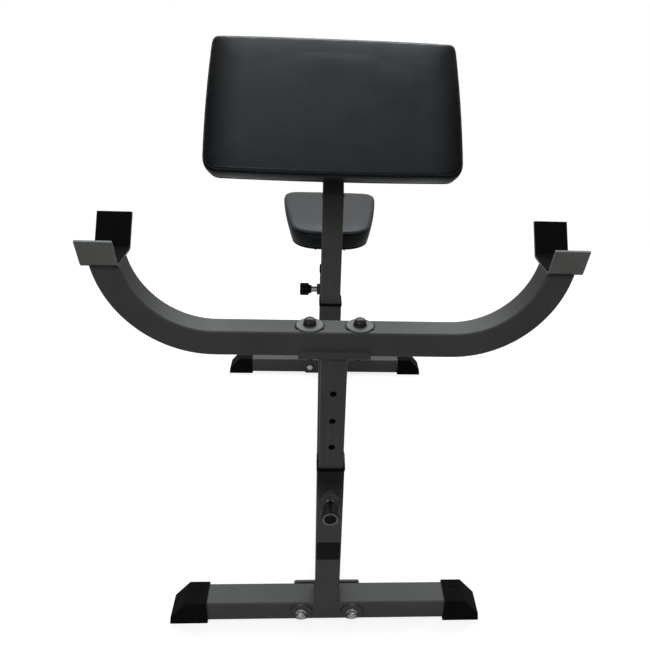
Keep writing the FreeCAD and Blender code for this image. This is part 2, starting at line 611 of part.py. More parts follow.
def bar_arm():
    """One square tube, straight in the middle, bent upwards at both ends and cut level there."""
    body = new_body("bar_arm", ("0", along_y("0"), f"arm_z + {POST_HALF}"))
    section = new_sketch(body, "YZ_Plane")
    rounded_rect(section, "post_outer", "post_outer", "post_corner")
    inner = "post_outer - 2 * post_wall"
    rounded_rect(section, inner, inner, "post_corner - post_wall")
    path = new_sketch(body, "XZ_Plane")
    half, radius = value("arm_straight / 2"), value("bend_radius")
    path.addGeometry(Part.LineSegment(Vector(), Vector(half, 0, 0)), False)
    bend = Part.Circle(Vector(half, radius, 0), Vector(0, 0, 1), radius)
    path.addGeometry(Part.ArcOfCircle(bend, -math.pi / 2, 0), False)
    path.addConstraint(Sketcher.Constraint("Coincident", 0, 1, -1, 1))
    fix_point(path, 0, 2, "arm_straight / 2", "0")
    path.addConstraint(Sketcher.Constraint("Tangent", 0, 2, 1, 1))
    fix_point(path, 1, 2, "arm_straight / 2 + bend_radius", "bend_radius")
    doc.recompute()
    pipe = body.newObject("PartDesign::AdditivePipe", "Bend")
    pipe.Profile = section
    pipe.Spine = (path, ["Edge1", "Edge2"])
    doc.recompute()
    mirror = body.newObject("PartDesign::Mirrored", "OtherSide")
    mirror.Originals = [pipe]
    mirror.MirrorPlane = (next(f for f in body.Origin.OriginFeatures if f.Role == "YZ_Plane"), [""])
    body.Tip = mirror
    doc.recompute()
    level = new_sketch(body, "XZ_Plane")
    reach = "(arm_straight / 2 + bend_radius + post_outer)"
    cut = f"(arm_rise - {POST_HALF})"
    polygon(level, [(f"-{reach}", cut), (reach, cut), (reach, f"{cut} + bend_radius"),
                    (f"-{reach}", f"{cut} + bend_radius")])
    pocket(body, level, "2 * post_outer", symmetric=True)
    for side in ("-", ""):
        spot = (f"{side}arm_bolt_spread / 2", "0", "-post_outer")
        cylinder(body, "Subtractive", "bolt_hole", "2 * post_outer", spot)


HOOK_FRONT = f"(-{POST_HALF})"
HOOK_REAR = f"({HOOK_FRONT} + hook_floor)"


def lip_end(depth):
    """Upper end of the front lip, so far in from its outer face."""
    return (f"{HOOK_FRONT} - hook_lip * sin(hook_lip_lean) + {depth} * cos(hook_lip_lean)",
            f"hook_lip * cos(hook_lip_lean) + {depth} * sin(hook_lip_lean)")


def back_end(depth):
    """Upper end of the back plate, so far in from its outer face."""
    return (f"{HOOK_REAR} + hook_back * sin(hook_back_lean) - {depth} * cos(hook_back_lean)",
            f"hook_back * cos(hook_back_lean) + {depth} * sin(hook_back_lean)")


def lip_corner(depth):
    return (f"{HOOK_FRONT} + {depth} * (1 - sin(hook_lip_lean)) / cos(hook_lip_lean)", depth)


def back_corner(depth):
    return (f"{HOOK_REAR} - {depth} * (1 - sin(hook_back_lean)) / cos(hook_back_lean)", depth)


def bar_hooks():
    """Bent plates for the bar: level floor, leaning front lip, taller leaning back, rubber liner."""
    outline = [lip_corner("0"), back_corner("0"), back_end("0"),
               back_end("hook_thick"), back_corner("hook_thick"),
               lip_corner("hook_thick"), lip_end("hook_thick"), lip_end("0")]
    face = "(hook_thick + liner_thick)"
    lining = [("-liner_start", "hook_thick"), back_corner("hook_thick"),
              back_end("hook_thick"), back_end(face),
              back_corner(face), ("-liner_start", face)]
    liners = new_body("hook_liners", ("0", along_y("0"), HOOK_Z))
    floor_top, liner_top = value("hook_thick"), value(face)
    for label, sign in (("bar_hook_left", "-"), ("bar_hook_right", "")):
        middle = f"{sign}{HOOK_X}"
        body = new_body(label, (middle, along_y("0"), HOOK_Z))
        profile = new_sketch(body, "YZ_Plane")
        polygon(profile, outline)
        pad(body, profile, "hook_wide", symmetric=True)
        round_edges(body, "hook_bend", lambda p, d: near(abs(d.x), 1) and near(p.z, floor_top))
        round_edges(body, "hook_bend + hook_thick", lambda p, d: near(abs(d.x), 1) and near(p.z, 0))
        strip = new_sketch(liners, "YZ_Plane", middle)
        polygon(strip, lining)
        pad(liners, strip, "hook_wide", symmetric=True)
    bend_y, inner_y = value(back_corner("hook_thick")[0]), value(back_corner(face)[0])
    round_edges(liners, "hook_bend + 1",
                lambda p, d: near(p.y, bend_y) and near(p.z, floor_top) and near(abs(d.x), 1))
    round_edges(liners, "hook_bend + 1 - liner_thick",
                lambda p, d: near(p.y, inner_y) and near(p.z, liner_top) and near(abs(d.x), 1))


def arm_fasteners():
    """Welded discs, bolts with capped heads and nuts of the bar arm, two of each."""
    place = ("0", along_y("0"), ARM_TOP)
    discs = new_body("arm_reinforcing_discs", place)
    bolts = new_body("arm_bolts", place)
    nuts = new_body("arm_nuts", place)
    caps = new_body("arm_bolt_caps", place)
    below = "(post_outer + saddle_thick)"
    shank = f"(disc_thick + {below} + bolt_nut + bolt_end)"
    for side in ("-", ""):
        x = f"{side}arm_bolt_spread / 2"
        cylinder(discs, "Additive", "disc_dia", "disc_thick", (x, "0", "0"))
        cylinder(discs, "Subtractive", "bolt_hole", "3 * disc_thick", (x, "0", "-disc_thick"))
        hexagon(bolts, "bolt_across", "bolt_head", (x, "0", "disc_thick"))
        cylinder(bolts, "Additive", "bolt_dia", shank, (x, "0", f"disc_thick - {shank}"))
        hexagon(nuts, "bolt_across", "bolt_nut", (x, "0", f"-{below} - bolt_nut"))
        cylinder(nuts, "Subtractive", "bolt_dia + 2 * fit_gap", "3 * bolt_nut",
                 (x, "0", f"-{below} - 2 * bolt_nut"))
        hexagon(caps, "head_cap_across", "head_cap_high", (x, "0", "disc_thick"))
    top = value("disc_thick + head_cap_high")
    round_edges(caps, "head_cap_round", lambda p, d: near(p.z, top))
    for side in ("-", ""):
        spot = (f"{side}arm_bolt_spread / 2", "0", "0")
        depth = "disc_thick + bolt_head + fit_gap"
        hexagon(caps, "bolt_across + 2 * fit_gap", depth, spot, kind="Subtractive")


PAD_TURN = Rotation(Vector(1, 0, 0), 45)
MITRE = "tan(pad_angle / 2)"


def pad_body(label):
    """Body in the pad's own frame: Y up the slope from the post's mitre corner, Z out of the pad."""
    body = new_body(label, ("0", along_y(f"pad_post_y - {POST_HALF}"), "pad_post_top"), PAD_TURN)
    bind(body, "Placement.Rotation.Angle", "pad_angle")
    return body


def mitre_cut(body, corners):
    """Slanting end cut of a tube, straight through it along X."""
    wedge = new_sketch(body, "YZ_Plane")
    polygon(wedge, corners)
    pocket(body, wedge, "2 * post_outer", symmetric=True)


def pad_frame():
    """Mitred post and support tube under the arm pad, with two crossbars for its board."""
    holes_low = "(pad_upright_top - pad_pin_drop - pad_holes_below * hole_pitch)"
    column = post("pad_post", "pad_post_y", "pad_post_bottom", "pad_post_top",
                  "pad_holes", holes_low, False)
    top = "(pad_post_top - pad_post_bottom)"
    slope = f"post_outer * {MITRE}"
    mitre_cut(column, [(f"-{POST_HALF}", top), (POST_HALF, f"{top} - {slope}"),
                       (POST_HALF, f"{top} + post_outer"),
                       (f"-{POST_HALF}", f"{top} + post_outer")])

    tube = pad_body("pad_support_tube")
    section = new_sketch(tube, "XZ_Plane", "-support_length")
    rounded_rect(section, "post_outer", "post_outer", "post_corner", f"-{POST_HALF}")
    inner = "post_outer - 2 * post_wall"
    rounded_rect(section, inner, inner, "post_corner - post_wall", f"-{POST_HALF}")
    pad(tube, section, "support_length")
    mitre_cut(tube, [("0", "0"), (slope, "-post_outer"),
                     ("-post_outer", "-post_outer"), ("-post_outer", "0")])

    plug = pad_body("pad_support_plug")
    rim = new_sketch(plug, "XZ_Plane", "-support_length - plug_rim")
    rounded_rect(rim, "post_outer", "post_outer", "post_corner", f"-{POST_HALF}")
    pad(plug, rim, "plug_rim")
    core = new_sketch(plug, "XZ_Plane", "-support_length")
    fit = f"{inner} - 2 * fit_gap"
    rounded_rect(core, fit, fit, "post_corner - post_wall", f"-{POST_HALF}")
    pad(plug, core, "plug_deep")

    bars = pad_body("pad_crossbars")
    screws = pad_body("pad_screws")
    for step in ("0", "1"):
        y = f"crossbar_low + {step} * crossbar_step"
        bar = bars.newObject("PartDesign::AdditiveBox", "Crossbar")
        for prop, text in (("Length", "crossbar_length"), ("Width", "crossbar_wide"),
                           ("Height", "crossbar_thick")):
            bind(bar, prop, text)
        bind_base(bar, ("-crossbar_length / 2", f"{y} - crossbar_wide / 2", "0"))
        for side in ("-", ""):
            x = f"{side}pad_screw_spread / 2"
            cylinder(bars, "Subtractive", "screw_hole", "3 * crossbar_thick", (x, y, "-crossbar_thick"))
            hexagon(screws, "screw_across", "screw_head", (x, y, "-screw_head"))
            cylinder(screws, "Additive", "screw_dia", "crossbar_thick + screw_bite", (x, y, "0"))


def rounded_outline(corners, radii, height):
    """Closed wire round a convex outline, its sides bowed out between rounded corners."""
    count = len(corners)
    ends = []
    for i in range(count):
        before, here, after = corners[i - 1], corners[i], corners[(i + 1) % count]
        back = (before - here).normalize()
        ahead = (after - here).normalize()
        half_turn = back.getAngle(ahead) / 2
        length = radii[i] / math.tan(half_turn)
        bisector = (back + ahead).normalize()
        middle = here + bisector * (radii[i] / math.sin(half_turn) - radii[i])
        ends.append((here + back * length, middle, here + ahead * length))
    up = Vector(0, 0, height)
    edges = []
    for i in range(count):
        start, middle, stop = ends[i]
        edges.append(Part.Arc(start + up, middle + up, stop + up).toShape())
        following = ends[(i + 1) % count][0]
        side = following - stop
        outward = Vector(side.y, -side.x, 0).normalize()
        bow = (stop + following) / 2 + outward * value("side_bow")
        edges.append(Part.Arc(stop + up, bow + up, following + up).toShape())
    return Part.Wire(edges)


def inset_corners(front, rear, near_y, far_y, inset):
    """Corners of a trapezoid, counter-clockwise, moved in from all four sides and by the sides' bow."""
    inset += value("side_bow")
    lean = math.atan2((rear - front) / 2, far_y - near_y)
    side = inset / math.cos(lean)
    low_half = front / 2 + inset * math.tan(lean) - side
    high_half = rear / 2 - inset * math.tan(lean) - side
    low, high = near_y + inset, far_y - inset
    return [Vector(-low_half, low, 0), Vector(low_half, low, 0),
            Vector(high_half, high, 0), Vector(-high_half, high, 0)]


def cushion_levels(thick):
    """Pairs of inset and height, from the tucked underside over the rolled edge to the crown."""
    roll, rise = value("edge_roll"), value("crown")
    shoulder = thick - rise - roll
    levels = [(value("edge_tuck"), 0.0), (0.0, shoulder * 0.6)]
    for degrees in (0, 30, 55, 75):
        angle = math.radians(degrees)
        levels.append((roll * (1 - math.cos(angle)), shoulder + roll * math.sin(angle)))
    reach = value("crown_reach")
    levels.append(((roll + reach) / 2, thick - rise * 0.35))
    levels.append((reach, thick))
    return levels


def cushion(label, front, rear, near_y, far_y, thick, radii, place, turn):
    """Upholstered block: lofted crown and rolled edge, hollowed below for its board."""
    sections = []
    for inset, height in cushion_levels(thick):
        corners = inset_corners(front, rear, near_y, far_y, inset)
        rounds = [max(r - inset, r / 4) for r in radii]
        sections.append(rounded_outline(corners, rounds, height))
    block = Part.makeLoft(sections, True, False, False, 2)
    hollow = board_solid(front, rear, near_y, far_y, radii,
                         value("board_inset - board_gap"), value("board_gap"))
    shape = doc.addObject("Part::Feature", label)
    shape.Label = label
    shape.Shape = block.cut(hollow)
    shape.Placement = FreeCAD.Placement(place, turn)
    nodes.append(shape)


def board_solid(front, rear, near_y, far_y, radii, inset, extra):
    corners = inset_corners(front, rear, near_y, far_y, inset)
    rounds = [max(r - inset, r / 4) for r in radii]
    outline = rounded_outline(corners, rounds, -extra)
    return Part.Face(outline).extrude(Vector(0, 0, value("board_thick") + 2 * extra))


def board(label, front, rear, near_y, far_y, radii, screws, place, turn):
    """Plywood base of a cushion, drilled for its screws."""
    solid = board_solid(front, rear, near_y, far_y, radii, value("board_inset"), 0.0)
    for x, y in screws:
        deep = value("screw_bite + board_gap")
        hole = Part.makeCylinder(value("screw_hole / 2"), deep, Vector(x, y, 0))
        solid = solid.cut(hole)
    shape = doc.addObject("Part::Feature", label)
    shape.Label = label
    shape.Shape = solid
    shape.Placement = FreeCAD.Placement(place, turn)
    nodes.append(shape)


def arm_pad():
    turn = Rotation(Vector(1, 0, 0), value("pad_angle"))
    corner = Vector(0, value(along_y(f"pad_post_y - {POST_HALF}")), value("pad_post_top"))
    place = corner + turn.multVec(Vector(0, 0, value("crossbar_thick")))
    near_y = value("pad_setback")
    outline = (value("pad_wide"), value("pad_wide"), near_y, near_y + value("pad_long"))
    radii = [value("pad_low_round")] * 2 + [value("pad_top_round")] * 2
    spread, low, step = value("pad_screw_spread / 2"), value("crossbar_low"), value("crossbar_step")
    screws = [(x, y) for x in (-spread, spread) for y in (low, low + step)]
    board("pad_board", *outline, radii, screws, place, turn)
    cushion("pad_cushion", *outline, value("pad_thick"), radii, place, turn)


def seat():
    """Bracket on the seat post, board and cushion."""
    place = ("0", along_y("seat_post_y"), "seat_z")
    bracket = new_body("seat_bracket", place)
    profile = new_sketch(bracket, "XZ_Plane")
    half, inner = "bracket_wide / 2", "(bracket_wide / 2 - bracket_thick)"
    polygon(profile, [(f"-{half}", "0"), (f"-{half}", "-bracket_flange"),
                      (f"-{inner}", "-bracket_flange"), (f"-{inner}", "-bracket_thick"),
                      (inner, "-bracket_thick"), (inner, "-bracket_flange"),
                      (half, "-bracket_flange"), (half, "0")])
    pad(bracket, profile, "bracket_length", symmetric=True)
    edge = value(half)
    round_edges(bracket, "bracket_thick",
                lambda p, d: near(abs(d.y), 1) and near(p.z, 0) and near(abs(p.x), edge))
    low, end = -value("bracket_flange"), value("bracket_length / 2")
    round_edges(bracket, "bracket_flange / 2",
                lambda p, d: near(p.z, low) and near(abs(p.y), end) and near(abs(d.x), 1))

    screws = new_body("seat_screws", place)
    for sx in ("-", ""):
        for sy in ("-", ""):
            x, y = f"{sx}seat_screw_x / 2", f"{sy}seat_screw_y / 2"
            cylinder(bracket, "Subtractive", "screw_hole", "3 * bracket_thick",
                     (x, y, "-2 * bracket_thick"))
            hexagon(screws, "screw_across", "screw_head", (x, y, "-bracket_thick - screw_head"))
            cylinder(screws, "Additive", "screw_dia", "bracket_thick + screw_bite",
                     (x, y, "-bracket_thick"))

    spot = Vector(0, value(along_y("seat_post_y")), value("seat_z"))
    near_y = -value("seat_front")
    outline = (value("seat_front_wide"), value("seat_rear_wide"), near_y, near_y + value("seat_deep"))
    radii = [value("seat_front_round")] * 2 + [value("seat_rear_round")] * 2
    x, y = value("seat_screw_x / 2"), value("seat_screw_y / 2")
    places = [(sx * x, sy * y) for sx in (-1, 1) for sy in (-1, 1)]
    board("seat_board", *outline, radii, places, spot, Rotation())
    cushion("seat_cushion", *outline, value("seat_thick"), radii, spot, Rotation())


def check_and_write():
    """Stop on any failed object or bad shape, then write one file for each piece."""
    doc.recompute()
    for obj in doc.Objects:
        if "Invalid" in obj.State or "Error" in obj.State:
            raise RuntimeError(f"{obj.Label} failed: {obj.State}")
    for node in nodes:
        if node.Shape.isNull() or not node.Shape.isValid() or not node.Shape.Solids:
            raise RuntimeError(f"{node.Label} has no valid shape")
    os.makedirs("parts", exist_ok=True)
    for node in nodes:
        node.Shape.exportStep(f"parts/{node.Label}.step")
    box = Part.makeCompound([node.Shape for node in nodes]).optimalBoundingBox(False)
    print(f"{len(nodes)} pieces, {box.XLength:.1f} x {box.YLength:.1f} x {box.ZLength:.1f} mm,"
          f" from {box.XMin:.1f} {box.YMin:.1f} {box.ZMin:.1f}")


foot_tubes()
foot_caps()
base_beam()
foot_fasteners()

upright("bar_upright", "0", "bar_upright_top", "pin_drop", True)
upright("pad_upright", "pad_post_y", "pad_upright_top", "pad_pin_drop", False)
upright("seat_upright", "seat_post_y", "seat_upright_top", "pin_drop", False)
sleeve("bar_sleeve", "0", "bar_upright_top")
sleeve("pad_sleeve", "pad_post_y", "pad_upright_top")
sleeve("seat_sleeve", "seat_post_y", "seat_upright_top")

OUT_FRONT = Rotation(Vector(1, 0, 0), 90)
OUT_LEFT = Rotation(Vector(0, 1, 0), -90)
pull_pin("bar", "0", "bar_upright_top - pin_drop", OUT_FRONT)
pull_pin("pad", "pad_post_y", "pad_upright_top - pad_pin_drop", OUT_LEFT)
pull_pin("seat", "seat_post_y", "seat_upright_top - pin_drop", OUT_LEFT)

post("bar_post", "0", "bar_post_bottom", "(arm_z - saddle_thick)",
     "bar_holes", "(bar_upright_top - pin_drop)", True)
glide_plug("bar_post_plug", "0", "bar_post_bottom")
bar_saddle()
bar_arm()
bar_hooks()
arm_fasteners()

pad_frame()
glide_plug("pad_post_plug", "pad_post_y", "pad_post_bottom")
arm_pad()

SEAT_HOLES_LOW = "(seat_upright_top - pin_drop - seat_holes_below * hole_pitch)"
post("seat_post", "seat_post_y", "seat_post_bottom", "(seat_z - bracket_thick)",
     "seat_holes", SEAT_HOLES_LOW, False)
glide_plug("seat_post_plug", "seat_post_y", "seat_post_bottom")
seat()

check_and_write()
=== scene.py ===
import math
import random

import bmesh
import bpy
import numpy as np
from mathutils import Matrix, Vector
from mathutils.bvhtree import BVHTree
from mathutils.kdtree import KDTree


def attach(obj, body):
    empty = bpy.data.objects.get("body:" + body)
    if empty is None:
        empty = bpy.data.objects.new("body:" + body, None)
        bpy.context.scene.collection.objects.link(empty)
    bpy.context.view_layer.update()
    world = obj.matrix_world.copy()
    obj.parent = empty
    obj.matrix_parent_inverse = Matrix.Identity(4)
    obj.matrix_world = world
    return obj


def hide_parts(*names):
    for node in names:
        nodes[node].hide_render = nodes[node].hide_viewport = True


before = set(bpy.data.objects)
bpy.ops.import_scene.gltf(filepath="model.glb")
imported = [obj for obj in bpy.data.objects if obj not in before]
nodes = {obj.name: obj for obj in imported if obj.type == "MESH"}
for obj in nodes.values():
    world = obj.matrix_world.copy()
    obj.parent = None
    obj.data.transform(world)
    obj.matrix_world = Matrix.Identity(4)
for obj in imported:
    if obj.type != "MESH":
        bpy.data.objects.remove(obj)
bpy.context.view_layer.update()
scene = bpy.context.scene
mm = 0.001
print("frame loaded with", len(nodes), "nodes")


# small helpers for the node trees of the finishes
def newFinish(name):
    finish = bpy.data.materials.new(name)
    finish.use_nodes = True
    tree = finish.node_tree
    tree.nodes.clear()
    output = tree.nodes.new("ShaderNodeOutputMaterial")
    shader = tree.nodes.new("ShaderNodeBsdfPrincipled")
    coords = tree.nodes.new("ShaderNodeTexCoord")
    tree.links.new(shader.outputs["BSDF"], output.inputs["Surface"])
    return finish, tree, shader, coords.outputs["Object"]


def stretched(tree, coords, stretch, turn=(0, 0, 0)):
    mapping = tree.nodes.new("ShaderNodeMapping")
    mapping.inputs["Scale"].default_value = stretch
    mapping.inputs["Rotation"].default_value = turn
    tree.links.new(coords, mapping.inputs["Vector"])
    return mapping.outputs["Vector"]


def noiseField(tree, coords, scale, detail=3.0, rough=0.55):
    field = tree.nodes.new("ShaderNodeTexNoise")
    field.inputs["Scale"].default_value = scale
    field.inputs["Detail"].default_value = detail
    field.inputs["Roughness"].default_value = rough
    tree.links.new(coords, field.inputs["Vector"])
    return field.outputs["Fac"]


def streakField(tree, coords, stretch, detail, rough=0.55):
    return noiseField(tree, stretched(tree, coords, stretch), 1, detail, rough)


def cellField(tree, coords, scale, feature="DISTANCE_TO_EDGE"):
    field = tree.nodes.new("ShaderNodeTexVoronoi")
    field.feature = feature
    field.inputs["Scale"].default_value = scale
    tree.links.new(coords, field.inputs["Vector"])
    return field.outputs["Distance"]


def shadeRamp(tree, field, stops):
    ramp = tree.nodes.new("ShaderNodeValToRGB")
    points = ramp.color_ramp.elements
    while len(points) < len(stops):
        points.new(0.5)
    for point, (spot, shade) in zip(points, stops):
        point.position = spot
        point.color = (*shade, 1)
    tree.links.new(field, ramp.inputs["Fac"])
    return ramp.outputs["Color"]


def spread(tree, field, low, high, start=0.3, stop=0.7):
    between = tree.nodes.new("ShaderNodeMapRange")
    between.inputs["From Min"].default_value = start
    between.inputs["From Max"].default_value = stop
    between.inputs["To Min"].default_value = low
    between.inputs["To Max"].default_value = high
    tree.links.new(field, between.inputs["Value"])
    return between.outputs["Result"]


# each value is a link where it is a socket, and a plain number or shade where it isn't
def feed(tree, values, sockets):
    for value, socket in zip(values, sockets):
        if isinstance(value, bpy.types.NodeSocket):
            tree.links.new(value, socket)
        else:
            socket.default_value = value


def mixShade(tree, share, first, second):
    mix = tree.nodes.new("ShaderNodeMix")
    mix.data_type = "RGBA"
    feed(tree, (share, first, second), (mix.inputs[0], mix.inputs[6], mix.inputs[7]))
    return mix.outputs[2]


# a second shade over the first, where a field rises from start to stop
def overlaid(tree, shade, second, field, amount, start, stop):
    return mixShade(tree, spread(tree, field, 0.0, amount, start, stop), shade, (*second, 1))


def combine(tree, way, *values):
    node = tree.nodes.new("ShaderNodeMath")
    node.operation = way
    feed(tree, values, node.inputs)
    return node.outputs[0]


def relief(tree, shader, layers):
    normal = None
    for height, strength, deep in layers:
        bump = tree.nodes.new("ShaderNodeBump")
        bump.inputs["Strength"].default_value = strength
        bump.inputs["Distance"].default_value = deep
        tree.links.new(height, bump.inputs["Height"])
        if normal is not None:
            tree.links.new(normal, bump.inputs["Normal"])
        normal = bump.outputs["Normal"]
    tree.links.new(normal, shader.inputs["Normal"])


def coated(tree, shader, shade, rough, gloss):
    tree.links.new(shade, shader.inputs["Base Color"])
    tree.links.new(rough, shader.inputs["Roughness"])
    shader.inputs["Specular IOR Level"].default_value = gloss


def weighed(tree, first, firstShare, second, secondShare):
    return combine(tree, "ADD", combine(tree, "MULTIPLY", first, firstShare),
                   combine(tree, "MULTIPLY", second, secondShare))


def heightOf(tree, coords):
    parts = tree.nodes.new("ShaderNodeSeparateXYZ")
    tree.links.new(coords, parts.inputs["Vector"])
    return parts.outputs["Z"]


# finishes: tone makes the shades of a look lighter or darker
def toned(look, tone):
    shades = {key: tuple(tone * c for c in look[key]) for key in look["shades"]}
    return dict(look, **shades)


# a field has scale or stretch, then detail and roughness; a show has amount, start and stop;
# a relief has strength and depth
paintLook = {
    "shades": ("dark", "light", "scuff"), "dark": (0.047, 0.050, 0.047), "light": (0.063, 0.066, 0.062),
    "scuff": (0.13, 0.135, 0.13), "gloss": 0.25, "smooth": 0.40, "dull": 0.54,
    "paintedShade": (0.004, 0.005, 0.0045), "paintedShadeGloss": 0.06, "cloud": (11, 5),
    "fleck": (1300, 2), "fleckShow": (0.35, 0.56, 0.72), "fleckRelief": (0.10, 0.15 * mm),
    "smear": ((18, 60, 60), 6, 0.7), "smearShow": (0.35, 0.60, 0.75), "smearFade": (0.01, 0.09),
    "line": ((420, 420, 5), 3), "lineShow": (0.28, 0.58, 0.74), "lineSmooth": (0.12, 0.55, 0.72),
    "peel": (330, 2), "peelRelief": (0.16, 0.5 * mm),
}


def makePaint(name, tone=1.0, rubbed=False, paintedShade=None):
    look = toned(paintLook, tone)
    finish, tree, shader, coords = newFinish(name)
    cloud = noiseField(tree, coords, *look["cloud"])
    shade = shadeRamp(tree, cloud, [(0.3, look["dark"]), (0.7, look["light"])])
    fleck = noiseField(tree, coords, *look["fleck"])
    shade = overlaid(tree, shade, look["scuff"], fleck, *look["fleckShow"])
    # shoe marks near the floor, fading out above the feet
    low = spread(tree, heightOf(tree, coords), 1.0, 0.0, *look["smearFade"])
    amount, start, stop = look["smearShow"]
    smear = spread(tree, streakField(tree, coords, *look["smear"]), 0.0, amount, start, stop)
    shade = mixShade(tree, combine(tree, "MULTIPLY", low, smear), shade, (*look["scuff"], 1))
    dull = spread(tree, cloud, look["smooth"], look["dull"])
    if rubbed:  # fine vertical lines where a post runs in its sleeve
        lines = streakField(tree, coords, *look["line"])
        shade = overlaid(tree, shade, look["scuff"], lines, *look["lineShow"])
        amount, start, stop = look["lineSmooth"]
        dull = combine(tree, "SUBTRACT", dull, spread(tree, lines, 0.0, amount, start, stop))
    if paintedShade:  # painted shade: darker, less glossy paint from one height to another
        start, full, amount = paintedShade
        thick = spread(tree, heightOf(tree, coords), 0.0, amount, start, full)
        shade = mixShade(tree, thick, shade, (*look["paintedShade"], 1))
        gloss = spread(tree, thick, look["gloss"], look["paintedShadeGloss"], 0.0, 1.0)
        tree.links.new(gloss, shader.inputs["Specular IOR Level"])
    coated(tree, shader, shade, dull, look["gloss"])
    peel = noiseField(tree, coords, *look["peel"])
    relief(tree, shader, [(peel, *look["peelRelief"]), (fleck, *look["fleckRelief"])])
    return finish


plasticLook = {
    "shades": ("dark", "light", "scuff"), "dark": (0.0035, 0.0036, 0.0037),
    "light": (0.0065, 0.0066, 0.0068), "scuff": (0.022, 0.022, 0.022), "cloud": (40, 4),
    "mark": ((60, 240, 240), 6, 0.7), "markShow": (0.5, 0.66, 0.80),
    "pitRelief": (0.20, 0.25 * mm), "wave": (90, 2), "waveRelief": (0.05, 0.4 * mm),
}


def makePlastic(name, gloss, smooth, dull, grain, tone=1.0):
    look = toned(plasticLook, tone)
    finish, tree, shader, coords = newFinish(name)
    cloud = noiseField(tree, coords, *look["cloud"])
    shade = shadeRamp(tree, cloud, [(0.3, look["dark"]), (0.72, look["light"])])
    marks = streakField(tree, coords, *look["mark"])
    shade = overlaid(tree, shade, look["scuff"], marks, *look["markShow"])
    coated(tree, shader, shade, spread(tree, cloud, smooth, dull), gloss)
    pits = cellField(tree, coords, grain, "F1")
    wave = noiseField(tree, coords, *look["wave"])
    relief(tree, shader, [(pits, *look["pitRelief"]), (wave, *look["waveRelief"])])
    return finish


metalLook = {
    "shades": ("dull", "bright", "warm"), "dull": (0.40, 0.41, 0.42), "bright": (0.66, 0.67, 0.67),
    "warm": (0.62, 0.58, 0.47), "cloud": (160, 4), "tint": (55, 2), "tintShow": (0.45, 0.48, 0.72),
    "gloss": 0.5, "grain": (900, 2), "grainRelief": (0.12, 0.12 * mm),
}


def makeMetal(name, tone, smooth, dull):
    look = toned(metalLook, tone)
    finish, tree, shader, coords = newFinish(name)
    cloud = noiseField(tree, coords, *look["cloud"])
    shade = shadeRamp(tree, cloud, [(0.28, look["dull"]), (0.70, look["bright"])])
    tint = noiseField(tree, coords, *look["tint"])
    shade = overlaid(tree, shade, look["warm"], tint, *look["tintShow"])
    coated(tree, shader, shade, spread(tree, cloud, smooth, dull), look["gloss"])
    shader.inputs["Metallic"].default_value = 1.0
    relief(tree, shader, [(noiseField(tree, coords, *look["grain"]), *look["grainRelief"])])
    return finish


vinylLook = {
    "deep": (0.0038, 0.0045, 0.0054), "lit": (0.0085, 0.0096, 0.0110), "smooth": 0.32, "dull": 0.46,
    "fold": (0.0010, 0.0011, 0.0013), "vinylShadeGloss": 0.02, "sheen": 0.02, "shine": (0.86, 0.93, 1.0),
    "across": ((14, 420, 420), 3), "along": ((420, 14, 420), 3), "streakDull": 0.04,
    "streakRelief": (0.10, 0.35 * mm), "cloud": (14, 3), "cloudRelief": (0.10, 1.5 * mm),
    "pebble": 620, "pebbleRelief": (0.14, 0.30 * mm),
}


def makeVinyl(name, turn, gloss):
    look = vinylLook
    finish, tree, shader, coords = newFinish(name)
    flat = stretched(tree, coords, (1, 1, 1), turn)
    across = streakField(tree, flat, *look["across"])
    along = streakField(tree, flat, *look["along"])
    streaks = weighed(tree, across, 0.6, along, 0.4)
    shade = shadeRamp(tree, streaks, [(0.40, look["deep"]), (0.62, look["lit"])])
    fold = tree.nodes.new("ShaderNodeAttribute")  # painted shade: up to one in the fold below the seam and towards the ends
    fold.attribute_name = "fold"
    shade = mixShade(tree, fold.outputs["Fac"], shade, (*look["fold"], 1))
    cloud = noiseField(tree, coords, *look["cloud"])
    rough = spread(tree, cloud, look["smooth"], look["dull"])
    rough = combine(tree, "ADD", rough, spread(tree, streaks, -look["streakDull"], look["streakDull"]))
    coated(tree, shader, shade, rough, gloss)
    # the painted shade also takes the gloss away
    glossInShade = spread(tree, fold.outputs["Fac"], gloss, look["vinylShadeGloss"], 0.0, 1.0)
    tree.links.new(glossInShade, shader.inputs["Specular IOR Level"])
    shader.inputs["Specular Tint"].default_value = (*look["shine"], 1)
    shader.inputs["Sheen Weight"].default_value = look["sheen"]
    pebbles = cellField(tree, flat, look["pebble"])
    relief(tree, shader, [(streaks, *look["streakRelief"]), (pebbles, *look["pebbleRelief"]),
                          (cloud, *look["cloudRelief"])])
    return finish


plywoodLook = {
    "dark": (0.20, 0.115, 0.055), "mid": (0.36, 0.23, 0.12), "pale": (0.50, 0.35, 0.20), "gloss": 0.25,
    "smooth": 0.62, "dull": 0.82, "bent": ((2.5, 14, 14), 4), "grain": ((7, 210, 210), 5, 0.65),
    "grainRelief": (0.25, 0.4 * mm),
}


def makePlywood(name, turn):
    look = plywoodLook
    finish, tree, shader, coords = newFinish(name)
    flat = stretched(tree, coords, (1, 1, 1), turn)
    bent = streakField(tree, flat, *look["bent"])
    grain = streakField(tree, flat, *look["grain"])
    both = weighed(tree, bent, 0.55, grain, 0.45)
    shade = shadeRamp(tree, both, [(0.36, look["dark"]), (0.50, look["mid"]), (0.64, look["pale"])])
    coated(tree, shader, shade, spread(tree, grain, look["smooth"], look["dull"]), look["gloss"])
    relief(tree, shader, [(grain, *look["grainRelief"])])
    return finish


rubberLook = {
    "dark": (0.0030, 0.0030, 0.0030), "light": (0.0062, 0.0062, 0.0060), "worn": (0.016, 0.016, 0.0155),
    "gloss": 0.05, "smooth": 0.72, "dull": 0.90, "cloud": (60, 4), "rub": ((12, 130, 130), 5, 0.7),
    "rubShow": (0.5, 0.62, 0.78), "pit": 900, "pitRelief": (0.25, 0.25 * mm),
}


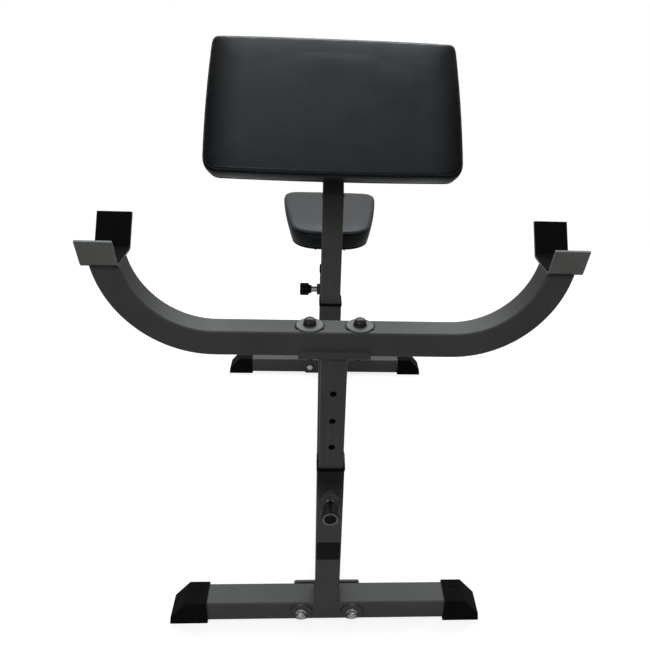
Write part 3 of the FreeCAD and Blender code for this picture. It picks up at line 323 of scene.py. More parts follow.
def makeRubber(name):
    look = rubberLook
    finish, tree, shader, coords = newFinish(name)
    cloud = noiseField(tree, coords, *look["cloud"])
    shade = shadeRamp(tree, cloud, [(0.3, look["dark"]), (0.75, look["light"])])
    rubs = streakField(tree, coords, *look["rub"])
    shade = overlaid(tree, shade, look["worn"], rubs, *look["rubShow"])
    coated(tree, shader, shade, spread(tree, cloud, look["smooth"], look["dull"]), look["gloss"])
    relief(tree, shader, [(cellField(tree, coords, look["pit"], "F1"), *look["pitRelief"])])
    return finish


padTurn = (math.radians(-45), 0, 0)  # lays the sloping pad's pattern flat
framePaint = makePaint("framePaint")
postPaint = makePaint("postPaint", rubbed=True)
# painted shade: darker paint at the top of the pad post, on the pad's support below the pad and at the top of
# the front upright
padPostShadedPaint = makePaint("padPostShadedPaint", tone=1.15, rubbed=True, paintedShade=(0.70, 0.80, 0.68))
supportShadedPaint = makePaint("supportShadedPaint", paintedShade=(0.88, 0.82, 0.85))
uprightShadedPaint = makePaint("uprightShadedPaint", paintedShade=(0.33, 0.385, 0.8))
# painted light: the hooks carry the frame paint made 2.5 times lighter, where light makes them look brighter
litHookPaint = makePaint("litHookPaint", tone=2.5)
# painted light: the discs on the arm carry the frame paint made 2.8 times lighter, standing in for the light
# they reflect
litDiscPaint = makePaint("litDiscPaint", tone=2.8)
weldPaint = makePaint("weldPaint", tone=0.5)
capPlastic = makePlastic("capPlastic", gloss=0.02, smooth=0.50, dull=0.64, grain=1500)
gripPlastic = makePlastic("gripPlastic", gloss=0.09, smooth=0.28, dull=0.40, grain=2200)
domePlastic = makePlastic("domePlastic", gloss=0.36, smooth=0.20, dull=0.30, grain=2200)
# painted highlight: the knob ribs' plastic is made light grey, standing in for light caught by the ribs
litRibPlastic = makePlastic("litRibPlastic", gloss=0.3, smooth=0.30, dull=0.44, grain=2200, tone=60)
platePlastic = makePlastic("platePlastic", gloss=0.10, smooth=0.36, dull=0.5, grain=1800)
zincPlate = makeMetal("zincPlate", tone=1.0, smooth=0.20, dull=0.36)
blackZinc = makeMetal("blackZinc", tone=0.10, smooth=0.32, dull=0.46)
springWire = makeMetal("springWire", tone=0.55, smooth=0.24, dull=0.38)
padVinyl = makeVinyl("padVinyl", padTurn, gloss=0.36)
seatVinyl = makeVinyl("seatVinyl", (0, 0, 0), gloss=0.18)
padPlywood = makePlywood("padPlywood", padTurn)
seatPlywood = makePlywood("seatPlywood", (0, 0, math.radians(90)))
hookRubber = makeRubber("hookRubber")

finishOfNode = {
    "bar_post": postPaint, "pad_post": padPostShadedPaint, "seat_post": postPaint, "bar_upright": uprightShadedPaint,
    "pad_support_tube": supportShadedPaint,
    "bar_hook_left": litHookPaint, "bar_hook_right": litHookPaint, "arm_reinforcing_discs": litDiscPaint,
    "hook_liners": hookRubber, "pad_board": padPlywood, "seat_board": seatPlywood,
    "pad_cushion": padVinyl, "seat_cushion": seatVinyl, "arm_bolt_caps": domePlastic,
    "arm_bolts": blackZinc, "arm_nuts": blackZinc, "pad_screws": blackZinc, "seat_screws": blackZinc,
}
finishOfEnding = {
    ("_plug", "_sleeve"): capPlastic, ("_knob",): gripPlastic, ("_spring",): springWire,
    ("_rod", "_barrel", "_washers", "foot_bolts", "foot_nuts"): zincPlate,
}
for nodeName, node in nodes.items():
    finish = finishOfNode.get(nodeName)
    if nodeName.startswith("foot_cap"):
        finish = capPlastic
    for endings, candidate in finishOfEnding.items():
        if finish is None and nodeName.endswith(endings):
            finish = candidate
    for place in node.material_slots:
        place.material = finish or framePaint
print("finishes on the carried-over pieces")


# meshes made in code
def newPiece(name, mesh, finish):
    piece = bpy.data.objects.new(name, mesh)
    scene.collection.objects.link(piece)
    mesh.materials.clear()
    mesh.materials.append(finish)
    return piece


def settle(piece, body):
    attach(piece, body)
    print(piece.name, "has", len(piece.data.polygons), "faces")


def evaluatedMesh(piece):
    bpy.context.view_layer.update()
    graph = bpy.context.evaluated_depsgraph_get()
    return bpy.data.meshes.new_from_object(piece.evaluated_get(graph))


def smoothFaces(mesh):
    mesh.polygons.foreach_set("use_smooth", [True] * len(mesh.polygons))


# shells of rings joined in turn, each capped at its two ends, or with its last ring joined to its first
def lofted(name, stacks, closed=False):
    shell = bmesh.new()
    for rings in stacks:
        loops = [[shell.verts.new(p) for p in ring] for ring in rings]
        count = len(loops[0])
        following = loops[1:] + loops[:1] if closed else loops[1:]
        for below, above in zip(loops, following):
            for i in range(count):
                j = (i + 1) % count
                shell.faces.new((below[i], below[j], above[j], above[i]))
        if not closed:
            shell.faces.new(list(reversed(loops[0])))
            shell.faces.new(loops[-1])
    mesh = bpy.data.meshes.new(name)
    bmesh.ops.recalc_face_normals(shell, faces=shell.faces)
    shell.to_mesh(mesh)
    shell.free()
    return mesh


# cushions
padForm = {
    "name": "padCushion", "node": "pad_cushion", "body": "pad_carriage",
    "origin": (0.0, -66.0 * mm, 806.0 * mm), "slope": 45.0, "lift": 4.0 * mm,
    "front": 555 * mm, "rear": 555 * mm, "nearY": 22 * mm, "farY": 369 * mm,
    "rounds": (36 * mm, 36 * mm, 15 * mm, 15 * mm), "thick": 52 * mm,
    "bow": 3 * mm, "roll": 12 * mm, "tuck": 5 * mm, "crown": 5 * mm, "reach": 140 * mm,
    "voxel": 5.2 * mm, "swell": 7 * mm, "slack": 1.2 * mm, "seamInset": 2.5 * mm, "seamDrop": 7.5 * mm,
    # painted shade towards the pad's two ends: dull sets how dark, the reach sets how far in
    "hemReach": 25 * mm, "finish": padVinyl, "seed": 11, "endShadeReach": 85 * mm, "dull": 0.92,
    "base": 0.6 * mm, "wall": 0.6, "rollSteps": (0, 30, 55, 75),
    "crownSteps": (0.08, 0.18, 0.30, 0.44, 0.60, 0.78, 1.0), "shrink": 4 * mm,
}
seatForm = dict(
    padForm, name="seatCushion", node="seat_cushion", body="seat_carriage",
    origin=(0.0, 246.5 * mm, 593.0 * mm), slope=0.0, lift=0.0,
    front=200 * mm, rear=288 * mm, nearY=-110 * mm, farY=238 * mm,
    rounds=(74 * mm, 74 * mm, 38 * mm, 38 * mm), thick=54 * mm, reach=72 * mm,
    voxel=4.6 * mm, hemReach=30 * mm, finish=seatVinyl, seed=23, dull=0.0,
)


def cushionPlace(form):
    turn = Matrix.Rotation(math.radians(form["slope"]), 4, "X")
    return Matrix.Translation(form["origin"]) @ turn @ Matrix.Translation((0, 0, form["lift"]))


# one ring of points round the outline, moved in by inset, with bowed sides and rounded corners
def outlineRing(form, inset, height, perArc=9, perSide=26):
    inside = inset + form["bow"]
    lean = math.atan2((form["rear"] - form["front"]) / 2, form["farY"] - form["nearY"])
    side = inside / math.cos(lean)
    lowHalf = form["front"] / 2 + inside * math.tan(lean) - side
    highHalf = form["rear"] / 2 - inside * math.tan(lean) - side
    low, high = form["nearY"] + inside, form["farY"] - inside
    corners = [Vector(p) for p in ((-lowHalf, low), (lowHalf, low), (highHalf, high), (-highHalf, high))]
    rounds = [max(r - inset, r / 4) for r in form["rounds"]]
    arcs = []
    for i, here in enumerate(corners):
        back = (corners[i - 1] - here).normalized()
        ahead = (corners[(i + 1) % 4] - here).normalized()
        halfTurn = back.angle(ahead) / 2
        reach = rounds[i] / math.tan(halfTurn)
        centre = here + (back + ahead).normalized() * (rounds[i] / math.sin(halfTurn))
        start, stop = here + back * reach - centre, here + ahead * reach - centre
        first = math.atan2(start.y, start.x)
        sweep = (math.atan2(stop.y, stop.x) - first) % (2 * math.pi)
        angles = [first + sweep * k / perArc for k in range(perArc + 1)]
        arcs.append([centre + Vector((math.cos(a), math.sin(a))) * rounds[i] for a in angles])
    ring = []
    for i in range(4):
        ring += arcs[i]
        start, stop = arcs[i][-1], arcs[(i + 1) % 4][0]
        run = stop - start
        outward = Vector((run.y, -run.x)).normalized()
        for k in range(1, perSide):
            share = k / perSide
            ring.append(start + run * share + outward * form["bow"] * (1 - (2 * share - 1) ** 2))
    return [Vector((p.x, p.y, height)) for p in ring]


# from the tucked base up the wall, round the shoulder and in over the crown
def cushionRings(form, shrink):
    top = form["thick"]
    shoulder = top - form["crown"] - form["roll"]
    levels = [(form["tuck"], form["base"]), (0.0, shoulder * form["wall"])]
    for degrees in form["rollSteps"]:
        angle = math.radians(degrees)
        levels.append((form["roll"] * (1 - math.cos(angle)), shoulder + form["roll"] * math.sin(angle)))
    for share in form["crownSteps"]:
        inset = form["roll"] + (form["reach"] - form["roll"]) * share
        levels.append((inset, top - form["crown"] * (1 - share) ** 3))
    return [outlineRing(form, inset + shrink, height * (top - shrink) / top) for inset, height in levels]


def bell(gap, wide):
    return math.exp(-(gap / wide) ** 2)


# the blank's seam lies further in and lower than the cover's
swellForm = {
    "steps": 20, "seamInset": 4 * mm, "seamDrop": 3 * mm, "perArc": 12, "perSide": 90,
    "heldBelow": 3 * mm, "seamHold": 0.75, "seamReach": 5 * mm,
}
clothForm = {
    "quality": 6, "mass": 0.3, "tension_stiffness": 30, "compression_stiffness": 30, "shear_stiffness": 12,
    "bending_stiffness": 3, "vertex_group_mass": "held", "pin_stiffness": 1.0, "use_pressure": True,
    "uniform_pressure_force": 4,
}
tiny = 1e-9  # least length to divide by


# the blank is blown up by a little air, held at its board and along its seam
def swollen(form, blank):
    scene.frame_set(1)
    inset = form["seamInset"] + swellForm["seamInset"]
    height = form["thick"] - form["seamDrop"] - swellForm["seamDrop"]
    tree = finder(outlineRing(form, inset, height, swellForm["perArc"], swellForm["perSide"]))
    held = blank.vertex_groups.new(name="held")
    for v in blank.data.vertices:
        weight = swellForm["seamHold"] * bell(tree.find(v.co)[2], swellForm["seamReach"])
        held.add([v.index], 1.0 if v.co.z < swellForm["heldBelow"] else weight, "REPLACE")
    before = np.array([v.co for v in blank.data.vertices])
    cloth = blank.modifiers.new("swell", "CLOTH")
    for label, value in clothForm.items():
        setattr(cloth.settings, label, value)
    cloth.settings.effector_weights.gravity = 0
    cloth.collision_settings.use_collision = False
    cloth.collision_settings.use_self_collision = False
    for step in range(1, swellForm["steps"] + 1):
        scene.frame_set(step)
    mesh = evaluatedMesh(blank)
    blank.modifiers.remove(cloth)
    scene.frame_set(1)
    after = np.array([v.co for v in mesh.vertices])
    move = after - before
    far = np.linalg.norm(move, axis=1, keepdims=True)
    move *= np.minimum(1, form["swell"] / np.maximum(far, tiny))
    mesh.vertices.foreach_set("co", (before + move).ravel())
    print(form["name"], "swelled by", round(float(far.max()) / mm, 1), "mm at most, kept to",
          form["swell"] / mm)
    return mesh


# the cover is cut to a pattern: no point of the swollen mesh lies further from it than the slack allows
def fitted(form, mesh):
    pattern = surfaceOf(lofted(form["name"] + "Pattern", [cushionRings(form, 0.0)]))
    for v in mesh.vertices:
        spot = pattern.find_nearest(v.co)[0]
        gap = v.co - spot
        v.co = spot + gap * min(1.0, form["slack"] / max(gap.length, tiny))
    mesh.update()


def subdivided(mesh, name):
    holder = bpy.data.objects.new(name, mesh)
    scene.collection.objects.link(holder)
    finer = holder.modifiers.new("finer", "SUBSURF")
    finer.levels = finer.render_levels = 1
    result = evaluatedMesh(holder)
    bpy.data.objects.remove(holder)
    return result


def surfaceOf(mesh):
    mesh.calc_loop_triangles()
    points = [v.co.copy() for v in mesh.vertices]
    return BVHTree.FromPolygons(points, [tuple(t.vertices) for t in mesh.loop_triangles])


def finder(points):
    tree = KDTree(len(points))
    for i, p in enumerate(points):
        tree.insert(p, i)
    tree.balance()
    return tree


# pitch and sway of the puckers are in points of the sewn line
sewForm = {
    "perArc": 24, "perSide": 160, "reach": 16 * mm, "groove": 1.2 * mm, "grooveWide": 2.6 * mm,
    "fold": 1.3 * mm, "foldWide": 2.4 * mm, "foldOut": 1.9 * mm, "foldDrop": 4.8 * mm,
    "pucker": 0.14 * mm, "puckerOut": 5 * mm, "puckerWide": 4 * mm, "pitch": 17, "sway": 3,
    "swayRate": 0.037, "beadOut": 0.25 * mm,
}


# groove along the sewn line with small puckers beside it, and a deeper fold just below; painted shade in that
# fold and towards the two ends goes into the attribute fold
def sewn(form, mesh, line, fold):
    seamTree, foldTree = finder(line), finder(fold)
    normals = [v.normal.copy() for v in mesh.vertices]
    foldAndShade = np.zeros(len(mesh.vertices))
    for v, normal in zip(mesh.vertices, normals):
        index, gap = seamTree.find(v.co)[1:]
        if gap > sewForm["reach"]:
            continue
        groove = sewForm["groove"] * bell(gap, sewForm["grooveWide"])
        foldAndShade[v.index] = bell(foldTree.find(v.co)[2], sewForm["foldWide"])
        sway = sewForm["sway"] * math.sin(index * sewForm["swayRate"] + form["seed"])
        wave = math.sin(2 * math.pi * index / sewForm["pitch"] + sway)
        pucker = sewForm["pucker"] * wave * bell(gap - sewForm["puckerOut"], sewForm["puckerWide"])
        v.co -= normal * (groove + sewForm["fold"] * foldAndShade[v.index] - pucker)
    for v in mesh.vertices:  # painted shade: darker and less glossy towards the two ends
        near = min(1.0, max(0.0, 1 - (form["front"] / 2 - abs(v.co.x)) / form["endShadeReach"]))
        foldAndShade[v.index] = max(foldAndShade[v.index], form["dull"] * near * near * (3 - 2 * near))
    mesh.attributes.new("fold", "FLOAT", "POINT").data.foreach_set("value", foldAndShade)
    mesh.update()


def lineOn(surface, form, inset, height):
    guide = outlineRing(form, inset, height, sewForm["perArc"], sewForm["perSide"])
    return [surface.find_nearest(p)[0] for p in guide]


def makeCushion(form):
    name = form["name"]
    blank = bpy.data.objects.new(name + "Blank", lofted(name + "Blank", [cushionRings(form, form["shrink"])]))
    scene.collection.objects.link(blank)
    remesh = blank.modifiers.new("even", "REMESH")
    remesh.mode = "VOXEL"
    remesh.voxel_size = form["voxel"]
    even = evaluatedMesh(blank)
    blank.modifiers.remove(remesh)
    blank.data = even
    mesh = swollen(form, blank)
    fitted(form, mesh)
    mesh = subdivided(mesh, name + "Fine")
    bpy.data.objects.remove(blank)
    surface = surfaceOf(mesh)
    inset, height = form["seamInset"], form["thick"] - form["seamDrop"]
    line = lineOn(surface, form, inset, height)
    sewn(form, mesh, line, lineOn(surface, form, inset - sewForm["foldOut"], height - sewForm["foldDrop"]))
    surface = surfaceOf(mesh)
    line = [surface.find_nearest(p)[:2] for p in line]
    line = [spot + normal * sewForm["beadOut"] for spot, normal in line]
    place = cushionPlace(form)
    mesh.transform(place)
    smoothFaces(mesh)
    cushion = newPiece(name, mesh, form["finish"])
    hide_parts(form["node"])
    settle(cushion, form["body"])
    return [place @ p for p in line]


# node trees for pieces that follow a line
def newTree(name, inputs):
    tree = bpy.data.node_groups.new(name, "GeometryNodeTree")
    tree.interface.new_socket("Geometry", in_out="INPUT", socket_type="NodeSocketGeometry")
    for label, kind, value in inputs:
        socket = tree.interface.new_socket(label, in_out="INPUT", socket_type=kind)
        if value is not None:
            socket.default_value = value
    tree.interface.new_socket("Geometry", in_out="OUTPUT", socket_type="NodeSocketGeometry")
    start = tree.nodes.new("NodeGroupInput")
    stop = tree.nodes.new("NodeGroupOutput")
    return tree, start, stop


def finishTree(tree, start, stop, geometry):
    link = tree.links.new
    whole = tree.nodes.new("GeometryNodeRealizeInstances")
    coat = tree.nodes.new("GeometryNodeSetMaterial")
    link(geometry, whole.inputs["Geometry"])
    link(whole.outputs["Geometry"], coat.inputs["Geometry"])
    link(start.outputs["Finish"], coat.inputs["Material"])
    link(coat.outputs["Geometry"], stop.inputs["Geometry"])


# a bead whose radius rises and falls along its line, a little differently at each ripple
rippleSize = (0.86, 1.10)


def makeBeadTree():
    tree, start, stop = newTree("beadAlongLine", [
        ("Radius", "NodeSocketFloat", 2.0 * mm), ("Ripple", "NodeSocketFloat", 2.4 * mm),
        ("Depth", "NodeSocketFloat", 0.25), ("Step", "NodeSocketFloat", 0.8 * mm),
        ("Sides", "NodeSocketInt", 8), ("Seed", "NodeSocketInt", 3), ("Finish", "NodeSocketMaterial", None)])
    add, link = tree.nodes.new, tree.links.new
    even = add("GeometryNodeResampleCurve")
    even.mode = "LENGTH"
    link(start.outputs["Geometry"], even.inputs["Curve"])
    link(start.outputs["Step"], even.inputs["Length"])
    along = add("GeometryNodeSplineParameter")
    turns = combine(tree, "DIVIDE", along.outputs["Length"], start.outputs["Ripple"])
    wave = combine(tree, "ABSOLUTE", combine(tree, "SINE", combine(tree, "MULTIPLY", turns, math.pi)))
    chance = add("FunctionNodeRandomValue")
    chance.data_type = "FLOAT"
    chance.inputs["Min"].default_value, chance.inputs["Max"].default_value = rippleSize
    link(combine(tree, "FLOOR", turns), chance.inputs["ID"])
    link(start.outputs["Seed"], chance.inputs["Seed"])
    dip = combine(tree, "MULTIPLY", combine(tree, "SUBTRACT", 1.0, wave), start.outputs["Depth"])
    size = combine(tree, "MULTIPLY", combine(tree, "SUBTRACT", 1.0, dip), chance.outputs["Value"])
    radius = combine(tree, "MULTIPLY", size, start.outputs["Radius"])
    ring = add("GeometryNodeCurvePrimitiveCircle")
    ring.inputs["Radius"].default_value = 1.0
    link(start.outputs["Sides"], ring.inputs["Resolution"])
    swept = add("GeometryNodeCurveToMesh")
    swept.inputs["Fill Caps"].default_value = True
    link(even.outputs["Curve"], swept.inputs["Curve"])
    link(ring.outputs["Curve"], swept.inputs["Profile Curve"])
    link(radius, swept.inputs["Scale"])
    soft = add("GeometryNodeSetShadeSmooth")
    link(swept.outputs["Mesh"], soft.inputs["Geometry"])
    finishTree(tree, start, stop, soft.outputs["Geometry"])
    return tree


# small bars set across a line at even steps, each turned a little
def makeBarTree():
    tree, start, stop = newTree("barsAlongLine", [
        ("Pitch", "NodeSocketFloat", 24 * mm), ("Bar", "NodeSocketVector", (11 * mm, 1.3 * mm, 0.7 * mm)),
        ("Wander", "NodeSocketFloat", 0.15), ("Seed", "NodeSocketInt", 5),
        ("Finish", "NodeSocketMaterial", None)])
    add, link = tree.nodes.new, tree.links.new
    spots = add("GeometryNodeCurveToPoints")
    spots.mode = "LENGTH"
    link(start.outputs["Geometry"], spots.inputs["Curve"])
    link(start.outputs["Pitch"], spots.inputs["Length"])
    bar = add("GeometryNodeMeshCube")
    link(start.outputs["Bar"], bar.inputs["Size"])
    chance = add("FunctionNodeRandomValue")
    chance.data_type = "FLOAT"
    link(combine(tree, "MULTIPLY", start.outputs["Wander"], -1.0), chance.inputs["Min"])
    link(start.outputs["Wander"], chance.inputs["Max"])
    link(start.outputs["Seed"], chance.inputs["Seed"])
    turned = add("FunctionNodeAxisAngleToRotation")
    turned.inputs["Axis"].default_value = (1, 0, 0)
    link(chance.outputs["Value"], turned.inputs["Angle"])
    rotation = add("FunctionNodeRotateRotation")
    rotation.rotation_space = "LOCAL"
    link(spots.outputs["Rotation"], rotation.inputs["Rotation"])
    link(turned.outputs["Rotation"], rotation.inputs["Rotate By"])
    copies = add("GeometryNodeInstanceOnPoints")
    link(spots.outputs["Points"], copies.inputs["Points"])
    link(bar.outputs["Mesh"], copies.inputs["Instance"])
    link(rotation.outputs["Rotation"], copies.inputs["Rotation"])
    finishTree(tree, start, stop, copies.outputs["Instances"])
    return tree


def lineCurve(name, runs, closed=False):
    curve = bpy.data.curves.new(name, "CURVE")
    curve.dimensions = "3D"
    for run in runs:
        spline = curve.splines.new("POLY")
        spline.points.add(len(run) - 1)
        for point, spot in zip(spline.points, run):
            point.co = (*spot, 1)
        spline.use_cyclic_u = closed
    return curve


def grown(name, tree, runs, settings, body, closed=False):
    holder = bpy.data.objects.new(name + "Line", lineCurve(name + "Line", runs, closed))
    scene.collection.objects.link(holder)
    modifier = holder.modifiers.new("grow", "NODES")
    modifier.node_group = tree
    keys = {item.name: item.identifier for item in tree.interface.items_tree if item.in_out == "INPUT"}
    for label, value in settings.items():
        modifier[keys[label]] = value
    mesh = evaluatedMesh(holder)
    holder.modifiers.remove(modifier)
    bpy.data.objects.remove(holder)
    settle(newPiece(name, mesh, settings["Finish"]), body)


beadTree = makeBeadTree()
barTree = makeBarTree()
padSeamLine = makeCushion(padForm)
seatSeamLine = makeCushion(seatForm)

seamForm = {"Radius": 1.15 * mm, "Ripple": 5.0 * mm, "Depth": 0.08, "Step": 2.0 * mm, "Sides": 8, "Seed": 2}
grown("padSeam", beadTree, [padSeamLine], dict(seamForm, Finish=padVinyl), "pad_carriage", True)
grown("seatSeam", beadTree, [seatSeamLine], dict(seamForm, Finish=seatVinyl), "seat_carriage", True)


# cover turned in under the boards, and its staples
hemForm = {
    "thick": 1.1 * mm, "edgeThick": 0.35, "thicken": 4, "rings": 6, "waver": 1.3 * mm, "ripple": 0.25 * mm,
    "edgeInset": 1.6 * mm, "edgeLift": 3.0 * mm, "lap": 0.15 * mm, "staplePitch": 26 * mm,
    "stapleInset": 19.5 * mm, "stapleDrop": 0.2 * mm, "staple": (1.2 * mm, 1.2 * mm, 10 * mm),
    "stapleTurn": 0.2,
}


def makeHem(form):
    draw = random.Random(form["seed"])
    place = cushionPlace(form)
    outer = form["tuck"] + hemForm["edgeInset"]
    count = len(outlineRing(form, outer, 0.0))
    waver = [draw.uniform(-1, 1) for i in range(count)]
    waver = [(waver[i - 1] + waver[i] + waver[(i + 1) % count]) / 3 for i in range(count)]
    lower = []
    for k in range(hemForm["rings"] + 1):
        share = k / hemForm["rings"]
        ring = outlineRing(form, outer + (form["hemReach"] - outer) * share, 0.0)
        middle = sum(ring, Vector()) / count
        thick = hemForm["thick"] * min(1.0, hemForm["edgeThick"] + share * hemForm["thicken"])
        for p, sway in zip(ring, waver):
            p += (middle - p).normalized() * sway * hemForm["waver"] * share
            p.z = hemForm["ripple"] * sway * share - thick
        lower.append(ring)
    # the outer edge stands up into the cover
    lifts = [hemForm["edgeLift"]] + [hemForm["lap"]] * hemForm["rings"]
    upper = [[Vector((p.x, p.y, lift)) for p in ring] for ring, lift in zip(lower, lifts)]
    rings = [[place @ p for p in ring] for ring in lower + upper[::-1]]
    mesh = lofted(form["name"] + "Hem", [rings], True)
    smoothFaces(mesh)
    settle(newPiece(form["name"] + "Hem", mesh, form["finish"]), form["body"])
    drop = Vector((0, 0, hemForm["thick"] + hemForm["stapleDrop"]))
    line = [place @ (p - drop) for p in outlineRing(form, hemForm["stapleInset"], 0.0)]
    settings = {"Pitch": hemForm["staplePitch"], "Bar": hemForm["staple"], "Wander": hemForm["stapleTurn"],
                "Seed": form["seed"], "Finish": zincPlate}
    grown(form["name"] + "Staples", barTree, [line], settings, form["body"], True)


makeHem(padForm)
makeHem(seatForm)


# middle, pin and sleeve of each post, in millimetres like the lines of the small pieces below
posts = {
    "bar": {"y": -443.5, "pinZ": 350, "sleeveTop": 412.8},
    "pad": {"y": -43.5, "pinZ": 466, "sleeveTop": 541.8},
    "seat": {"y": 246.5, "pinZ": 428, "sleeveTop": 490.8},
}
barY, seatY = posts["bar"]["y"], posts["seat"]["y"]
boltX = 41.5  # bolts of the arm

# weld beads, one mesh for each body
weldForm = {"Radius": 2.1 * mm, "Ripple": 2.6 * mm, "Depth": 0.22, "Step": 0.9 * mm, "Sides": 8, "Seed": 7,
            "Finish": weldPaint}


def run(*points):
    return [Vector(p) * mm for p in points]


def across(half, y, z):
    return run((-half, y, z), (half, y, z))


def lengthwise(x, y, z, half):
    return run((x, y - half, z), (x, y + half, z))


def ringArc(centre, radius, axis, start, stop, count=9):
    spots = []
    for k in range(count + 1):
        angle = math.radians(start + (stop - start) * k / count)
        a, b = radius * math.cos(angle), radius * math.sin(angle)
        offset = {"x": Vector((0, a, b)), "y": Vector((a, 0, b)), "z": Vector((a, b, 0))}[axis]
        spots.append((Vector(centre) + offset) * mm)
    return spots


# two short welds on opposite sides of a disc
def discWelds(centre, radius, axis, sweep):
    return [ringArc(centre, radius, axis, turn - sweep, turn + sweep) for turn in (0, 180)]


# welds round the head of a post, under what it carries
headLines = {"side": 22.7, "sideHalf": 18.5, "half": 19, "saddle": 652.8, "bracket": 588.8}


def headWelds(y, z):
    runs = []
    for flank in (-headLines["side"], headLines["side"]):
        runs.append(lengthwise(flank, y, z, headLines["sideHalf"]))
        runs.append(across(headLines["half"], y + flank, z))
    return runs


frameLines = {
    "side": 25.2, "footTop": 55, "footHalf": 20.5, "half": 21, "plates": (-413.2, 453.2), "plateZ": (9, 50),
    "plateTop": 54.8, "frontFace": -468.8, "rearFace": 508.8, "leftFace": -25.3, "pinEdge": 15.4,
    "pinHalf": 7, "discX": 53, "discZ": 29.5, "discRound": 22.2, "discSweep": 24,
}


def makeFrameRuns(lines):
    runs = []
    low, high = lines["plateZ"]
    left, pinHalf = lines["leftFace"], lines["pinHalf"]
    for side in (-1, 1):
        flank = side * lines["side"]
        runs.append(lengthwise(flank, barY, lines["footTop"], lines["footHalf"]))  # front upright on its foot
        for y in lines["plates"]:  # beam on its end plates
            runs.append(run((flank, y, low), (flank, y, high)))
        for name in ("pad", "seat"):  # middle and rear uprights on the beam
            runs.append(across(lines["half"], posts[name]["y"] + flank, lines["footTop"]))
        edge = side * lines["pinEdge"]  # nuts of the pins
        runs.append(across(pinHalf, lines["frontFace"], posts["bar"]["pinZ"] + edge))
        for name in ("pad", "seat"):
            y, z = posts[name]["y"] + edge, posts[name]["pinZ"]
            runs.append(run((left, y, z - pinHalf), (left, y, z + pinHalf)))
        for y in (lines["frontFace"], lines["rearFace"]):  # discs on the feet
            centre = (side * lines["discX"], y, lines["discZ"])
            runs += discWelds(centre, lines["discRound"], "y", lines["discSweep"])
    return runs + [across(lines["half"], y, lines["plateTop"]) for y in lines["plates"]]


armLines = {"discTop": 703.3, "discRound": 22.6, "discSweep": 30, "hookEdges": (-466.2, -420.8),
            "hookFoot": 812.8, "endGap": 4, "flat": 0.05}


# arm under its hooks
def makeHookRuns(lines):
    runs = []
    points = np.array([v.co for v in nodes["bar_arm"].data.vertices]) / mm
    ends = points[points[:, 2] > points[:, 2].max() - lines["flat"]]
    for side in (-1, 1):
        reach = ends[ends[:, 0] * side > 0][:, 0]
        low, high = reach.min() + lines["endGap"], reach.max() - lines["endGap"]
        for y in lines["hookEdges"]:
            runs.append(run((low, y, lines["hookFoot"]), (high, y, lines["hookFoot"])))
    return runs


padLines = {"mitreX": 22.4, "mitre": ((-63, 804.8), (-24, 788.6)), "crossbars": (50, 160), "wide": 40,
            "side": 22.2, "gap": 3, "drop": -0.9, "half": 17, "edgeOut": 0.3, "edgeUp": 0.2}


def onPad(x, y, z):
    turn = Matrix.Rotation(math.radians(padForm["slope"]), 4, "X")
    return tuple(turn @ Vector((x, y, z)) + Vector(padForm["origin"]) / mm)


def makePadRuns(lines):
    runs = []
    for side in (-1, 1):
        runs.append(run(*((side * lines["mitreX"], y, z) for y, z in lines["mitre"])))
        flank, drop = side * lines["side"], lines["drop"]
        for low in lines["crossbars"]:
            high = low + lines["wide"]
            runs.append(run(onPad(flank, low + lines["gap"], drop), onPad(flank, high - lines["gap"], drop)))
            edge = (low if side < 0 else high) + side * lines["edgeOut"]
            runs.append(run(*(onPad(x, edge, lines["edgeUp"]) for x in (-lines["half"], lines["half"]))))
    return runs


tackRuns = []  # short welds of the discs on the arm
for x in (-boltX, boltX):
    tackRuns += discWelds((x, barY, armLines["discTop"]), armLines["discRound"], "z", armLines["discSweep"])
restRuns = headWelds(barY, headLines["saddle"]) + makeHookRuns(armLines)
for name, runs, body in (("frameWelds", makeFrameRuns(frameLines), "frame"),
                         ("restWelds", restRuns, "bar_rest"),
                         ("padWelds", makePadRuns(padLines), "pad_carriage"),
                         ("seatWelds", headWelds(seatY, headLines["bracket"]), "seat_carriage")):
    grown(name, beadTree, runs, weldForm, body)
tackForm = dict(weldForm, Radius=2.7 * mm, Depth=0.3)
grown("discTacks", beadTree, tackRuns, tackForm, "bar_rest")


# soft lip of each sleeve over the edge of its upright
lipForm = dict(weldForm, Radius=1.5 * mm, Depth=0.0, Step=2.0 * mm, Finish=capPlastic)
lipLines = {"half": 25.0, "round": 4.0}


def squareRing(postY, height, half, rounded, perArc=5):
    spots = []
    for i, (x, y) in enumerate(((1, 1), (-1, 1), (-1, -1), (1, -1))):
        for k in range(perArc + 1):
            angle = math.radians(90 * i + 90 * k / perArc)
            spots.append((x * (half - rounded) + rounded * math.cos(angle),
                          postY + y * (half - rounded) + rounded * math.sin(angle), height))
    return run(*spots)


lipRuns = [squareRing(p["y"], p["sleeveTop"], lipLines["half"], lipLines["round"]) for p in posts.values()]
grown("sleeveLips", beadTree, lipRuns, lipForm, "frame", True)


# threaded ends of the arm's bolts below their nuts
tipForm = dict(weldForm, Radius=5.0 * mm, Ripple=1.25 * mm, Depth=0.12, Step=0.25 * mm, Sides=12,
               Finish=blackZinc)
tipEnds = (647, 636.5)
tipRuns = [run(*((x, barY, z) for z in tipEnds)) for x in (-boltX, boltX)]
grown("boltTips", beadTree, tipRuns, tipForm, "bar_rest")


# domed covers on the heads of the arm's bolts
domeForm = {
    "seat": 706.0, "sides": 32,
    "profile": ((11.3, -0.1), (11.4, 0.9), (10.9, 1.5), (10.8, 4.0), (10.5, 6.2), (9.8, 8.2),
                (8.5, 10.1), (6.4, 11.5), (3.6, 12.4), (1.2, 12.7)),
}


